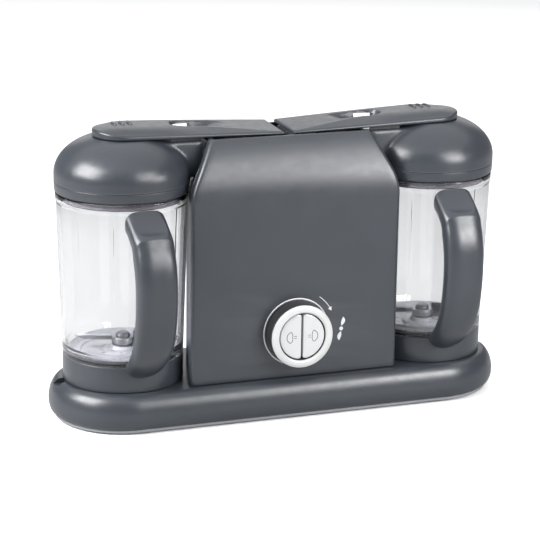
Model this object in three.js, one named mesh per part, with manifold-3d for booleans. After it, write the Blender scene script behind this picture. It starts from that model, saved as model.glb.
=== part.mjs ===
// Two-bowl baby food maker: a steamer and blender with a bowl on each side of a central column.
// Millimetres, +Z up, front towards -Y. The machine stands on z = 0.
import * as THREE from 'three';
import { mergeVertices } from 'three/addons/utils/BufferGeometryUtils.js';
import Module from 'manifold-3d';

const wasm = await Module();
wasm.setup();

// ---- Driving sizes -------------------------------------------------------------------------
const gap = 0.3; // play between pieces that touch
const wall = 2.5; // moulded wall
const bowlX = 136.5; // bowl axis from the middle of the machine
const bowlTurn = { left: 4, right: 0 }; // degrees that each handle stands off straight ahead

const trimBottom = 1.5; // underside of the trim plate
const trimTop = 4.2;
const trimRadius = 58.2;
const baseFoot = { r: 57.9, z: trimTop + gap }; // lower edge of the base shell
const baseWidest = { r: 63.2, z: 15 };
const baseDeck = { r: 52, z: 33.6 }; // flat top of the base
const plateScrew = { x: 168, y: 28 };
const foot = { x: 120, y: 44, r: 8, top: 3.2 };

const columnFront = 49; // half depth of the column
const columnHalfWidth = 91.6;
const columnSide = 71; // half width of the column above the bowls and behind them
const cradle = { r: 58.5, front: -36, rear: 8, top: 205.4 }; // hollow of the column round a bowl
const bendStart = 186; // height where the front starts to lean back
const bendEnd = 208;
const columnTop = 237.4;
const rearTop = 235;
const lean = 0.433; // millimetres back per millimetre up
const taper = 0.53; // millimetres in per millimetre up
const panelReturn = 7; // depth of the front panel's edges

const deckTop = 228; // top deck under the arms
const deckUnder = 225;
const troughHalf = 21.2; // half width of the hinge trough
const troughFloor = 219.4;
const hinge = { x: 10.5, z: 232, pin: 2, barrel: 4.2, half: 23 };
const mouth = { x: 46, r: 14.5 }; // filler mouth of a tank

const bandRadius = 50.5; // band round the foot of a bowl
const bandBottom = baseDeck.z + gap;
const bandTop = 55.7;
const bandInner = 47.8;
const rimTop = 193.2; // bowl rim
const bowlFloor = 57.4;
const seatRing = { inner: 36, outer: 43.2, top: 44 };
const lugAngles = [212, 332, 92]; // bayonet lugs, degrees about the bowl axis
const lugHalf = 12;

const lidRadius = 55.9;
const lidBottom = 194.1;
const lidSeam = 202.3;
const domeTop = 242;
const domePower = 2.3; // squareness of the dome's outline
const neck = { inner: 74, half: 23, low: 206, top: 235.4, pocket: 227, wall: 3, screen: 2.4 };

const arm = { inner: 3.9, half: 24.3, under: 236.8, rise: 0.016, endTop: 239.5, crown: 246.6 };
const slot = { from: 47, through: 73, to: 92, half: 9, y: 8 };

const knob = { z: 73.6, r: 27.4, hole: 21.7, face: 17.4 };
const button = { r: 19.6, back: 56, face: 64.6, split: 0.9 };
const boardFront = 36; // control board's front face, from the middle plane

const spindle = { r: 4, pulley: 15 };
const motor = { y: 8, r: 30, bottom: 72, top: 146, pulley: 9 };
const beltZ = { left: 13, right: 21 };
const beltWidth = 6;

const handleReach = 91; // front of the grips from the bowl axis
const blades = { seat: 63.3, z: 66.8, pitch: 34, turn: -20, chord: 7, half: 0.7, reach: 40 };

// ---- Shape helpers --------------------------------------------------------------------------
const degrees = Math.PI / 180;

// Signed volume of an indexed geometry, negative when its faces point in.
function signedVolume(position, index) {
  const corners = [new THREE.Vector3(), new THREE.Vector3(), new THREE.Vector3()];
  let volume = 0;
  for (let i = 0; i < index.length; i += 3) {
    corners.forEach((corner, k) => corner.fromBufferAttribute(position, index[i + k]));
    volume += corners[0].dot(corners[1].cross(corners[2])) / 6;
  }
  return volume;
}

// A manifold solid from a closed geometry, with its faces pointing out.
function solid(geometry) {
  const bare = geometry.clone();
  bare.deleteAttribute('normal');
  bare.deleteAttribute('uv');
  const merged = mergeVertices(bare, 1e-4);
  const position = merged.attributes.position;
  let index = [];
  for (let i = 0; i < merged.index.count; i += 3) {
    const [a, b, c] = [0, 1, 2].map((k) => merged.index.getX(i + k));
    if (a !== b && b !== c && c !== a) index.push(a, b, c);
  }
  if (signedVolume(position, index) < 0) index = index.reverse();
  const mesh = new wasm.Mesh({
    numProp: 3,
    vertProperties: new Float32Array(position.array),
    triVerts: new Uint32Array(index),
  });
  mesh.merge();
  return new wasm.Manifold(mesh);
}

// The geometry of a manifold solid, with flat faces.
function geometryOf(body) {
  const mesh = body.getMesh();
  const geometry = new THREE.BufferGeometry();
  geometry.setAttribute('position', new THREE.BufferAttribute(new Float32Array(mesh.vertProperties), 3));
  geometry.setIndex(new THREE.BufferAttribute(new Uint32Array(mesh.triVerts), 1));
  return geometry;
}

const joined = (...bodies) => bodies.reduce((all, body) => all.add(body));
const cut = (body, ...tools) => tools.reduce((left, tool) => left.subtract(tool), body);

// A solid turned about Z from [radius, height] points that close on the axis or on themselves.
function turned(points, segments = 24) {
  const profile = points.map(([r, z]) => new THREE.Vector2(r, z));
  return solid(new THREE.LatheGeometry(profile, segments).rotateX(Math.PI / 2));
}

// A ring about Z from its closed [radius, height] section.
const ring = (points, segments = 28) => turned([...points, points[0]], segments);

// A plain tube or disc between two heights.
function tube(inner, outer, low, high, segments = 24) {
  const section = [[inner, low], [outer, low], [outer, high], [inner, high]];
  return inner > 0 ? ring(section, segments) : turned(section, segments);
}

// A turned solid split through X = 0 and pulled apart by `half` each way, with straight sides between.
function stadium(points, half, segments = 36) {
  const profile = points.map(([r, z]) => new THREE.Vector2(r, z));
  const step = (2 * Math.PI) / segments;
  const geometry = new THREE.LatheGeometry(profile, segments, step / 2);
  const position = geometry.attributes.position;
  for (let i = 0; i < position.count; i += 1) {
    const turn = (Math.floor(i / profile.length) + 0.5) * step;
    position.setX(i, position.getX(i) + Math.sign(Math.sin(turn)) * half);
  }
  return solid(geometry.rotateX(Math.PI / 2));
}

const polygon = (points) => new THREE.Shape(points.map(([u, v]) => new THREE.Vector2(u, v)));

// A shape in XY raised from `low` to `high`.
function raised(shape, low, high, options = {}) {
  const geometry = new THREE.ExtrudeGeometry(shape, {
    depth: high - low,
    bevelEnabled: false,
    curveSegments: 8,
    ...options,
  });
  return solid(geometry.translate(0, 0, low));
}

// A shape drawn in (Y, Z) and stretched along X.
function acrossX(shape, low, high) {
  const depth = high - low;
  const geometry = new THREE.ExtrudeGeometry(shape, { depth, bevelEnabled: false, curveSegments: 12 });
  const axes = new THREE.Matrix4().makeBasis(
    new THREE.Vector3(0, 1, 0),
    new THREE.Vector3(0, 0, 1),
    new THREE.Vector3(1, 0, 0),
  );
  return solid(geometry.applyMatrix4(axes).translate(low, 0, 0));
}

// A shape drawn in (X, Z) and stretched along Y.
function acrossY(shape, low, high) {
  const depth = high - low;
  const geometry = new THREE.ExtrudeGeometry(shape, { depth, bevelEnabled: false, curveSegments: 12 });
  const axes = new THREE.Matrix4().makeBasis(
    new THREE.Vector3(1, 0, 0),
    new THREE.Vector3(0, 0, 1),
    new THREE.Vector3(0, -1, 0),
  );
  return solid(geometry.applyMatrix4(axes).translate(0, high, 0));
}

// A box from its lowest to its highest corner.
function block([x0, y0, z0], [x1, y1, z1]) {
  const geometry = new THREE.BoxGeometry(x1 - x0, y1 - y0, z1 - z0);
  return solid(geometry.translate((x0 + x1) / 2, (y0 + y1) / 2, (z0 + z1) / 2));
}

// A cylinder along Y.
function rodY(r, x, z, y0, y1, segments = 14) {
  const geometry = new THREE.CylinderGeometry(r, r, y1 - y0, segments);
  return solid(geometry.translate(x, (y0 + y1) / 2, z));
}

// A cylinder along X.
function rodX(r, y, z, x0, x1, segments = 16) {
  const geometry = new THREE.CylinderGeometry(r, r, x1 - x0, segments).rotateZ(Math.PI / 2);
  return solid(geometry.translate((x0 + x1) / 2, y, z));
}

// A sector of a ring about Z.
function sector(inner, outer, low, high, middle, half) {
  const shape = new THREE.Shape();
  const from = (middle - half) * degrees;
  const to = (middle + half) * degrees;
  shape.absarc(0, 0, outer, from, to, false);
  shape.absarc(0, 0, inner, to, from, true);
  return raised(shape, low, high, { curveSegments: 4 });
}

// Turns a solid of the right-hand side into the left-hand one.
function mirrored(body) {
  const geometry = geometryOf(body).scale(-1, 1, 1);
  return solid(geometry);
}

// ---- Materials ------------------------------------------------------------------------------
const finish = (color, roughness, metalness = 0, extra = {}) => ({ color, roughness, metalness, ...extra });
const finishes = {
  slate: finish('#5b5e64', 0.42),
  trim: finish('#8d9094', 0.5),
  clear: finish('#e6ebec', 0.08, 0, { transparent: true, opacity: 0.35 }),
  seal: finish('#2c2b31', 0.8),
  steel: finish('#b9bcc0', 0.25, 1),
  gloss: finish('#f2f2f0', 0.12),
  inner: finish('#c9c9c4', 0.6),
  board: finish('#2e6b45', 0.6),
  belt: finish('#1c1c1e', 0.9),
};

// A named mesh with a material of its own.
function piece(name, body, kind) {
  const mesh = new THREE.Mesh(geometryOf(body), new THREE.MeshStandardMaterial(finishes[kind]));
  mesh.name = name;
  return mesh;
}

// ---- Base -----------------------------------------------------------------------------------
// Outline of the base from its lower edge over the widest line to the deck.
function baseOutline(inset) {
  const points = [];
  for (let i = 0; i <= 2; i += 1) {
    const t = (i / 2) * 90 * degrees;
    const r = baseFoot.r + (baseWidest.r - baseFoot.r) * Math.sin(t);
    points.push([r - inset, baseWidest.z - (baseWidest.z - baseFoot.z) * Math.cos(t)]);
  }
  for (let i = 1; i <= 4; i += 1) {
    const t = (i / 4) * 90 * degrees;
    const r = baseDeck.r + (baseWidest.r - baseDeck.r) * Math.cos(t);
    points.push([r - inset, baseWidest.z + (baseDeck.z - inset - baseWidest.z) * Math.sin(t)]);
  }
  return points;
}

function baseShell() {
  const outside = baseOutline(0);
  const inside = baseOutline(wall);
  const skin = stadium([[0, baseFoot.z], ...outside, [0, baseDeck.z]], bowlX);
  const room = stadium([[0, 0], [inside[0][0], 0], ...inside, [0, baseDeck.z - wall]], bowlX);
  let shell = cut(skin, room);
  for (const side of [-1, 1]) {
    const seat = ring([
      [seatRing.inner, baseDeck.z - 1],
      [seatRing.outer, baseDeck.z - 1],
      [seatRing.outer, seatRing.top],
      [seatRing.inner, seatRing.top],
    ]);
    const angles = side > 0 ? lugAngles : lugAngles.map((angle) => 180 - angle);
    const lugs = angles.map((angle) => sector(seatRing.outer - 1, 46.3, 40.5, 43.5, angle, lugHalf));
    shell = shell.add(joined(seat, ...lugs).translate([side * bowlX, 0, 0]));
    shell = shell.subtract(tube(0, 10, 20, 50, 20).translate([side * bowlX, 0, 0]));
    const plunger = plungerPlace(side);
    shell = shell.subtract(tube(0, 2.2, 20, 50, 12).translate([plunger.x, plunger.y, 0]));
    for (const back of [-1, 1]) {
      const boss = tube(1.7, 4.6, trimTop + gap, baseDeck.z - 1, 12);
      shell = shell.add(boss.translate([side * plateScrew.x, back * plateScrew.y, 0]));
    }
  }
  const shaftHole = tube(0, 7, 20, 50, 24).translate([0, motor.y, 0]);
  return shell.subtract(shaftHole);
}

// Where an interlock plunger comes up under a bayonet lug.
function plungerPlace(side) {
  const angle = (side > 0 ? lugAngles[0] : 180 - lugAngles[0]) * degrees;
  const r = 45.6;
  return { x: side * bowlX + r * Math.cos(angle), y: r * Math.sin(angle) };
}

function basePlate() {
  let plate = stadium([[0, trimBottom], [trimRadius - 0.8, trimBottom], [trimRadius, trimBottom + 0.8],
    [trimRadius, trimTop], [0, trimTop]], bowlX);
  for (const side of [-1, 1]) {
    for (const back of [-1, 1]) {
      const pocket = tube(0, foot.r + gap, 0, foot.top + gap, 20);
      plate = plate.subtract(pocket.translate([side * foot.x, back * foot.y, 0]));
      const screwHole = joined(tube(0, 1.9, 0, 8, 12), tube(0, 4.4, 0, 3.6, 12));
      plate = plate.subtract(screwHole.translate([side * plateScrew.x, back * plateScrew.y, 0]));
    }
    const pivot = tube(spindle.r + gap, 8, trimTop - 1, 9, 16);
    plate = plate.add(pivot.translate([side * bowlX, 0, 0]));
  }
  return plate;
}

function screw() {
  return turned([[0, 1.8], [4, 1.8], [4, 3.2], [1.5, 3.6], [1.5, 18], [0, 19]], 12);
}

function interlockSwitch(side) {
  const place = plungerPlace(side);
  const body = block([place.x - 9, place.y - 4, 20], [place.x + 9, place.y + 4, baseDeck.z - wall - gap]);
  const plunger = tube(0, 1.6, 25, 36.8, 12).translate([place.x, place.y, 0]);
  return body.add(plunger);
}

// ---- Drive ----------------------------------------------------------------------------------
function motorCan() {
  const room = tube(0, motor.r - 2, motor.bottom - 1, motor.top - 3);
  const can = cut(tube(0, motor.r, motor.bottom, motor.top), room);
  const legs = [45, 135, 225, 315].map((angle) => {
    const leg = block([-4, -4, baseDeck.z + gap], [4, 4, motor.bottom + 8]);
    const reach = motor.r - 4.5;
    return leg.translate([reach * Math.cos(angle * degrees), reach * Math.sin(angle * degrees), 0]);
  });
  const inside = tube(0, motor.r - 5.5, 20, motor.top - 3);
  const kept = cut(joined(can, ...legs), inside, tube(0, 3.8, 20, motor.top + 1, 16));
  return kept.translate([0, motor.y, 0]);
}

function motorShaft() {
  const shaft = turned([[0, 8], [3, 8], [3, motor.top + 6], [0, motor.top + 6]], 12);
  const rotor = tube(0, 21, motor.bottom + 8, motor.top - 10);
  const pulleys = Object.values(beltZ).map((z) => pulley(motor.pulley, z));
  return joined(shaft, rotor, ...pulleys);
}

// A flanged pulley that carries a belt whose lower edge is at z.
function pulley(r, z) {
  const flange = r + 2.6;
  return turned([[0, z - 1.4], [flange, z - 1.4], [flange, z - 0.4], [r, z - 0.4], [r, z + beltWidth + 0.4],
    [flange, z + beltWidth + 0.4], [flange, z + beltWidth + 1.4], [0, z + beltWidth + 1.4]], 20);
}

function driveSpindle(z) {
  const shaft = turned([[0, 6], [spindle.r, 6], [spindle.r, 35.5], [0, 35.5]], 12);
  const dog = turned([[0, 35.4], [6.5, 35.4], [6.5, 46], [5.5, 47], [0, 47]], 6);
  return joined(shaft, dog, pulley(spindle.pulley, z));
}

function spindleBush() {
  return ring([[spindle.r + gap, 29], [9.7, 29], [9.7, baseDeck.z + gap], [13, baseDeck.z + gap],
    [13, 35], [spindle.r + gap, 35]], 20);
}

// A belt loop round the motor pulley and a spindle pulley.
function driveBelt(side, z) {
  const loop = (grow) => {
    const from = { x: 0, y: motor.y, r: motor.pulley + gap + grow };
    const to = { x: side * bowlX, y: 0, r: spindle.pulley + gap + grow };
    const reach = Math.hypot(to.x - from.x, to.y - from.y);
    const heading = Math.atan2(to.y - from.y, to.x - from.x);
    const spread = Math.acos((from.r - to.r) / reach);
    const shape = new THREE.Shape();
    shape.absarc(to.x, to.y, to.r, heading - spread, heading + spread, false);
    shape.absarc(from.x, from.y, from.r, heading + spread, heading - spread + 2 * Math.PI, false);
    return shape;
  };
  return cut(raised(loop(1.3), z, z + beltWidth), raised(loop(0), z - 1, z + beltWidth + 1));
}

// ---- Column ---------------------------------------------------------------------------------
// Distance that the front has leaned back, or the sides have drawn in, at a height.
function drift(z, slope) {
  if (z <= bendStart) return 0;
  const bend = bendEnd - bendStart;
  if (z <= bendEnd) return (slope / (2 * bend)) * (z - bendStart) ** 2;
  return (slope * bend) / 2 + slope * (z - bendEnd);
}

const bendHeights = [0, 0.2, 0.4, 0.6, 0.8, 1].map((t) => bendStart + t * (bendEnd - bendStart));

// Front line of the column as (Y, Z) points from the foot to the top, set back by `inset`.
function frontLine(inset, top = columnTop) {
  const heights = [baseDeck.z + gap, ...bendHeights, top];
  return heights.map((z) => [-columnFront + inset + drift(z, lean), z]);
}

// Region of the column between two set-backs of the front line, as a slab across the machine.
function frontBand(from, to) {
  const near = frontLine(from);
  const far = frontLine(to).reverse();
  return acrossX(polygon([...near, ...far]), -110, 110);
}

// Everything behind the front line by `inset`, inside the leaning rear.
function behindFront(inset, rearInset, top) {
  const near = frontLine(inset, Math.max(top, columnTop));
  const far = frontLine(rearInset, top).map(([y, z]) => [-y, z]).reverse();
  return acrossX(polygon([...near, ...far]), -110, 110);
}

// Front view of the column: straight sides that draw in towards the top.
function frontView(inset) {
  const heights = [baseDeck.z + gap, ...bendHeights, columnTop + 5];
  const right = heights.map((z) => [columnHalfWidth - inset - drift(z, taper), z]);
  const left = right.map(([x, z]) => [-x, z]).reverse();
  return acrossY(polygon([...right, ...left]), -columnFront - 5, columnFront + 5);
}

// Plan of the column, given the line its right side follows from the front wing to the rear.
function columnPlan(inset, sideLine, top) {
  const right = [
    [columnHalfWidth - inset, -columnFront + inset],
    [90.6 - inset * 1.2, -columnFront + panelReturn - 0.5],
    ...sideLine,
    [columnSide - inset, 30],
    [62 - inset, columnFront - 5],
    [57 - inset, columnFront - inset],
  ];
  const left = right.map(([x, y]) => [-x, y]).reverse();
  return raised(polygon([...right, ...left]), baseDeck.z + gap, top);
}

// Side of the column beside a bowl, hollowed to follow it.
function cradleLine(inset) {
  const steps = 8;
  return Array.from({ length: steps + 1 }, (_, i) => {
    const y = cradle.front + ((cradle.rear - cradle.front) * i) / steps;
    return [bowlX - Math.sqrt((cradle.r + inset) ** 2 - y ** 2), y];
  });
}

// The column: hollowed round the bowls up to the lids' seams, drawn in under the lids' necks.
function columnBlock(inset) {
  const wings = [[86 - inset * 1.6, cradle.front], [columnSide - inset, -27]];
  const upper = columnPlan(inset, wings, columnTop + 5);
  const lower = columnPlan(inset, cradleLine(inset), cradle.top - inset);
  return joined(upper, lower).intersect(frontView(inset));
}

function frontPanel() {
  const outer = columnBlock(0);
  const face = outer.intersect(frontBand(0, wall));
  const edges = cut(outer, columnBlock(wall)).intersect(frontBand(0, panelReturn));
  const knobHole = rodY(knob.hole, 0, knob.z, -60, -30, 40);
  return cut(joined(face, edges), knobHole);
}

function rearShell() {
  const back = columnBlock(0).intersect(behindFront(panelReturn + gap, 0, rearTop));
  const room = columnBlock(wall).intersect(behindFront(-5, wall, columnTop + 4));
  const trough = block([-100, -26, 235.6], [100, 26, 260]);
  const cordHole = rodY(6.4, 0, 50, 40, 60);
  const tools = [room, trough, cordHole];
  for (const side of [-1, 1]) {
    tools.push(rodX(5, 0, 215, side > 0 ? 60 : -80, side > 0 ? 80 : -60, 20));
  }
  for (let i = -3; i <= 3; i += 1) {
    tools.push(block([i * 9 - 1.6, 40, 66], [i * 9 + 1.6, 60, 92]));
  }
  const below = block([-100, -60, 0], [100, 60, baseDeck.z + 2 * gap]);
  return cut(back, ...tools, below);
}

function topDeck() {
  const plate = block([-65.4, -26.8, deckUnder], [65.4, 26.8, deckTop]);
  const tub = block([-troughHalf - 2, -26.8, troughFloor - 2], [troughHalf + 2, 26.8, deckTop]);
  const room = block([-troughHalf, -25, troughFloor], [troughHalf, 25, deckTop + 5]);
  let deck = cut(joined(plate, tub), room);
  for (const side of [-1, 1]) {
    deck = deck.subtract(tube(0, mouth.r, 200, 240, 24).translate([side * mouth.x, 0, 0]));
    const x = side * hinge.x;
    for (const [y0, y1] of [[-23, -19], [-3, 3], [19, 23]]) {
      const stem = block([x - 3, y0, troughFloor - 1], [x + 3, y1, hinge.z]);
      deck = deck.add(stem.add(rodY(hinge.barrel, x, hinge.z, y0, y1, 12)));
    }
    deck = deck.subtract(rodY(hinge.pin + gap, x, hinge.z, -hinge.half - 1, hinge.half + 1, 10));
  }
  return deck;
}

function waterTank() {
  const outer = raised(roundedBox(24.2, 67.4, -27, 23, 6), 156, deckUnder - gap, { curveSegments: 3 });
  const inner = raised(roundedBox(26, 65.6, -25.2, 21.2, 5), 158, deckUnder + 5, { curveSegments: 3 });
  const port = rodX(3, 0, 215, 60, 80, 16);
  return cut(outer, inner, port);
}

// A rectangle with rounded corners, as a shape.
function roundedBox(x0, x1, y0, y1, r) {
  const shape = new THREE.Shape();
  shape.absarc(x1 - r, y1 - r, r, 0, Math.PI / 2, false);
  shape.absarc(x0 + r, y1 - r, r, Math.PI / 2, Math.PI, false);
  shape.absarc(x0 + r, y0 + r, r, Math.PI, 1.5 * Math.PI, false);
  shape.absarc(x1 - r, y0 + r, r, 1.5 * Math.PI, 2 * Math.PI, false);
  return shape;
}

function heater() {
  const disc = tube(0, 17, 149, 156 - gap, 32);
  const posts = [-8, 8].map((y) => tube(0, 1.6, 140, 150, 12).translate([0, y, 0]));
  return joined(disc, ...posts).translate([mouth.x, 1, 0]);
}

function controlBoard() {
  const sheet = block([-40, -boardFront, 42], [40, -boardFront + 1.6, 108]);
  const relays = [-26, 8].map((x) => block([x, -boardFront + 1, 84], [x + 16, -boardFront + 13, 104]));
  return joined(sheet, ...relays);
}

function cordGland() {
  const sleeve = cut(rodY(6.1, 0, 50, 42, 60, 16), rodY(3.4, 0, 50, 41, 61, 10));
  const flange = cut(rodY(9, 0, 50, columnFront + gap, columnFront + 3, 16), rodY(3.4, 0, 50, 41, 61, 10));
  return sleeve.add(flange);
}

// ---- Lid ------------------------------------------------------------------------------------
const armUnder = (x) => arm.under + (x - arm.inner) * arm.rise;

// Outline of the dome, from its lower edge to a height, set in by `inset`.
function domeOutline(inset, steps) {
  const low = lidSeam + gap;
  const points = [[lidRadius - inset, low]];
  for (let i = 1; i <= steps; i += 1) {
    const t = (i / steps) * 90 * degrees;
    const r = (lidRadius - inset) * Math.cos(t) ** (2 / domePower);
    points.push([Math.max(r, 0), low + (domeTop - inset - low) * Math.sin(t) ** (2 / domePower)]);
  }
  points[points.length - 1][0] = 0;
  return points;
}

// Everything under the sloping underside of an arm.
function belowArm(drop) {
  const shape = polygon([[60, 0], [220, 0], [220, armUnder(220) - drop], [60, armUnder(60) - drop]]);
  return acrossY(shape, -80, 80);
}

function lidDome() {
  const low = lidSeam + gap;
  const outer = turned([[0, low], ...domeOutline(0, 6)], 36).translate([bowlX, 0, 0]);
  const room = turned([[0, low - 1], [lidRadius - wall, low - 1], ...domeOutline(wall, 4)], 24);
  const plan = roundedBox(neck.inner, bowlX, -neck.half, neck.half, 3);
  const bar = raised(plan, neck.low, neck.top, { curveSegments: 3 });
  const body = outer.add(bar).intersect(belowArm(gap));
  const back = -neck.half + neck.wall;
  const pocket = block([neck.inner - 5, back, neck.pocket], [97, 40, 260]);
  const screenTop = armUnder(neck.inner) - gap;
  const screen = block([neck.inner + 0.4, back - 1, neck.low + wall], [98, back + neck.screen, screenTop]);
  const duct = rodX(6, 0, 215, neck.inner - 5, 100, 20);
  return cut(joined(cut(body, pocket), screen), room.translate([bowlX, 0, 0]), duct);
}

function lidRing() {
  const edge = 1.2;
  return ring([
    [51, lidBottom], [lidRadius - edge, lidBottom], [lidRadius, lidBottom + edge], [lidRadius, lidSeam], [51, lidSeam],
  ]);
}

function lidSeal() {
  return ring([
    [46.5, 187.5], [49.6, 187.5], [50.2, 189.5], [49.4, 191.5], [50.6, 193.6], [50.6, 200], [46.5, 200],
  ]);
}

function tankStopper() {
  const top = armUnder(mouth.x) - gap - 0.3;
  return turned([[0, 226.6], [11.5, 226.6], [12.6, 229], [12.6, top], [0, top]], 32).translate([mouth.x, 0, 0]);
}

// Paddle-shaped arm from the hinge to the dome, with the finger slot and its dish.
function lidArm() {
  const side = [
    [arm.inner, armUnder(arm.inner)],
    [arm.inner, arm.endTop - 0.4],
    [arm.inner + 0.6, arm.endTop],
    [bowlX - 92, 242.4],
    [bowlX - 62, 244.8],
    [bowlX - 36, 246.2],
    [bowlX - 8, arm.crown],
    [bowlX + 10, 246],
    [bowlX + 20, 244.6],
    [bowlX + arm.half, 242.6],
    [bowlX + arm.half, armUnder(bowlX + arm.half)],
  ];
  const section = [
    [-arm.half, 230],
    [arm.half, 230],
    [arm.half, 243],
    [arm.half - 6, 245.4],
    [8, arm.crown],
    [-8, arm.crown],
    [-arm.half + 6, 245.4],
    [-arm.half, 243],
  ];
  const plan = new THREE.Shape();
  plan.moveTo(arm.inner, -arm.half);
  plan.lineTo(bowlX, -arm.half);
  plan.absarc(bowlX, 0, arm.half, -Math.PI / 2, Math.PI / 2, false);
  plan.lineTo(arm.inner, arm.half);
  const paddle = acrossY(polygon(side), -30, 30).intersect(acrossX(polygon(section), 0, 170));
  let body = paddle.intersect(raised(plan, 220, 260));
  const dish = capsule(slot.from, slot.to, slot.half, 240.6, 260).translate([0, slot.y, 0]);
  const through = capsule(slot.through, slot.to, slot.half, 220, 260).translate([0, slot.y, 0]);
  body = cut(body, dish, through);
  for (const [y0, y1] of [[-18.6, -3.4], [3.4, 18.6]]) {
    const barrel = rodY(hinge.barrel, hinge.x, hinge.z, y0, y1, 12);
    const web = block([hinge.x - 3, y0, hinge.z], [hinge.x + 4.2, y1, armUnder(hinge.x) + 1]);
    body = body.add(barrel.add(web));
  }
  return body.subtract(rodY(hinge.pin + gap, hinge.x, hinge.z, -20, 20, 10));
}

// An upright capsule-shaped cutter along X.
function capsule(x0, x1, half, low, high) {
  const shape = new THREE.Shape();
  shape.absarc(x1 - half, 0, half, -Math.PI / 2, Math.PI / 2, false);
  shape.absarc(x0 + half, 0, half, Math.PI / 2, 1.5 * Math.PI, false);
  return raised(shape, low, high, { curveSegments: 8 });
}

// ---- Bowl -----------------------------------------------------------------------------------
function bowl() {
  return ring([
    [5.3, 49], [8.5, 49], [8.5, 54.2], [47.4, 54.2], [47.4, bandTop + gap], [50.7, bandTop + gap],
    [51.6, 90], [54, 168], [54.7, rimTop],
    [52.2, rimTop], [51.5, 168], [49, 90], [48.2, 63], [46.4, 59], [42, bowlFloor], [9, bowlFloor], [9, 61.5],
    [5.3, 61.5],
  ], 32);
}

function bowlBand() {
  const hoop = ring([
    [bandInner, bandBottom], [bandRadius, bandBottom], [bandRadius, bandTop], [bandInner, bandTop],
    [bandInner, 53.9], [44, 53.9], [44, 51.5], [bandInner, 50],
  ], 32);
  const lugs = lugAngles.map((angle) => sector(44.4, bandInner + 1, 37.2, 40, angle, 10));
  return joined(hoop, ...lugs);
}

// Space taken by the bowl and its band, with a little play round them.
function bowlClearance() {
  return turned([[0, 30], [bandRadius + gap, 30], [bandRadius + gap, bandTop], [51, bandTop + gap], [51.9, 90],
    [54.3, 168], [55, rimTop + 2], [0, rimTop + 2]], 32);
}

// Grip in front of the bowl, its outline drawn from the side as (distance in front, height).
function handle() {
  const half = 17;
  const edge = 4;
  const root = 45;
  const outline = new THREE.Shape();
  outline.moveTo(root, 190);
  outline.lineTo(56, 187);
  outline.lineTo(80, 171);
  outline.bezierCurveTo(87, 166, handleReach, 150, handleReach, 128);
  outline.bezierCurveTo(handleReach, 95, 84, 64, 54, 47.5);
  outline.lineTo(root, 45);
  outline.lineTo(root, 58);
  outline.lineTo(54, 61);
  outline.bezierCurveTo(66, 68, 75, 92, 75, 122);
  outline.bezierCurveTo(75, 145, 68, 158, 54, 165);
  outline.lineTo(root, 168);
  const grip = new THREE.ExtrudeGeometry(outline, {
    depth: 2 * (half - edge),
    bevelEnabled: true,
    bevelSize: edge * 0.8,
    bevelOffset: -edge * 0.8,
    bevelThickness: edge,
    bevelSegments: 1,
    curveSegments: 6,
  });
  const axes = new THREE.Matrix4().makeBasis(
    new THREE.Vector3(0, -1, 0),
    new THREE.Vector3(0, 0, 1),
    new THREE.Vector3(-1, 0, 0),
  );
  return cut(solid(grip.applyMatrix4(axes).translate(half - edge, 0, 0)), bowlClearance());
}

// ---- Blade ----------------------------------------------------------------------------------
function bladeHub() {
  const cup = cut(tube(0, 10, 36.5, 48.5, 16), turned([[0, 36], [7, 36], [7, 47.4], [0, 47.4]], 6));
  const stem = turned([[0, 48], [5, 48], [5, 61.9], [8.6, 61.9], [8.6, 62.9], [6, 63.1], [6, 70], [4, 71.8],
    [0, 71.8]], 16);
  return cup.add(stem);
}

// Two pitched wings on a collar that sits on the hub.
function blade() {
  const bore = 6 + gap;
  const collar = tube(bore, 9, blades.seat, blades.seat + 5, 16);
  const wing = new THREE.Shape();
  wing.moveTo(7.5, -blades.chord);
  wing.lineTo(30, -blades.chord);
  wing.quadraticCurveTo(39, 2 - blades.chord, blades.reach, blades.chord - 1);
  wing.quadraticCurveTo(28, blades.chord, 7.5, blades.chord);
  const flat = raised(wing, -blades.half, blades.half, { curveSegments: 5 });
  const wings = [0, 180].map((turn) => flat.rotate([blades.pitch, 0, turn + blades.turn]));
  const pair = joined(...wings).translate([0, 0, blades.z]);
  return cut(joined(collar, pair), tube(0, bore, 50, 90, 16));
}

// ---- Controls -------------------------------------------------------------------------------
const facingFront = (body) => body.rotate([90, 0, 0]).translate([0, 0, knob.z]);

function knobBezel() {
  return facingFront(ring([
    [20.2, 44], [21.3, 44], [21.3, columnFront + gap], [29, columnFront + gap], [29, columnFront + 1.3],
    [21.3, columnFront + 1.6], [21.3, 61.5], [20.2, 61.5],
  ]));
}

function knobRing() {
  const face = columnFront + knob.face;
  const back = columnFront + 2;
  const body = ring([
    [21.7, back], [knob.r - 0.6, back], [knob.r, back + 1], [knob.r - 0.6, face - 5], [knob.r - 1.6, face - 2],
    [knob.r - 4, face - 0.3], [knob.r - 5.2, face], [20.4, face - 1], [20.4, face - 4], [21.7, face - 4.4],
  ], 28);
  return facingFront(body);
}

function steamButton() {
  const shape = new THREE.Shape();
  const half = Math.asin(button.split / button.r);
  shape.absarc(0, 0, button.r, half - Math.PI / 2, Math.PI / 2 - half, false);
  const cap = raised(shape, button.back, button.face, { curveSegments: 16 });
  return facingFront(cap);
}

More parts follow.
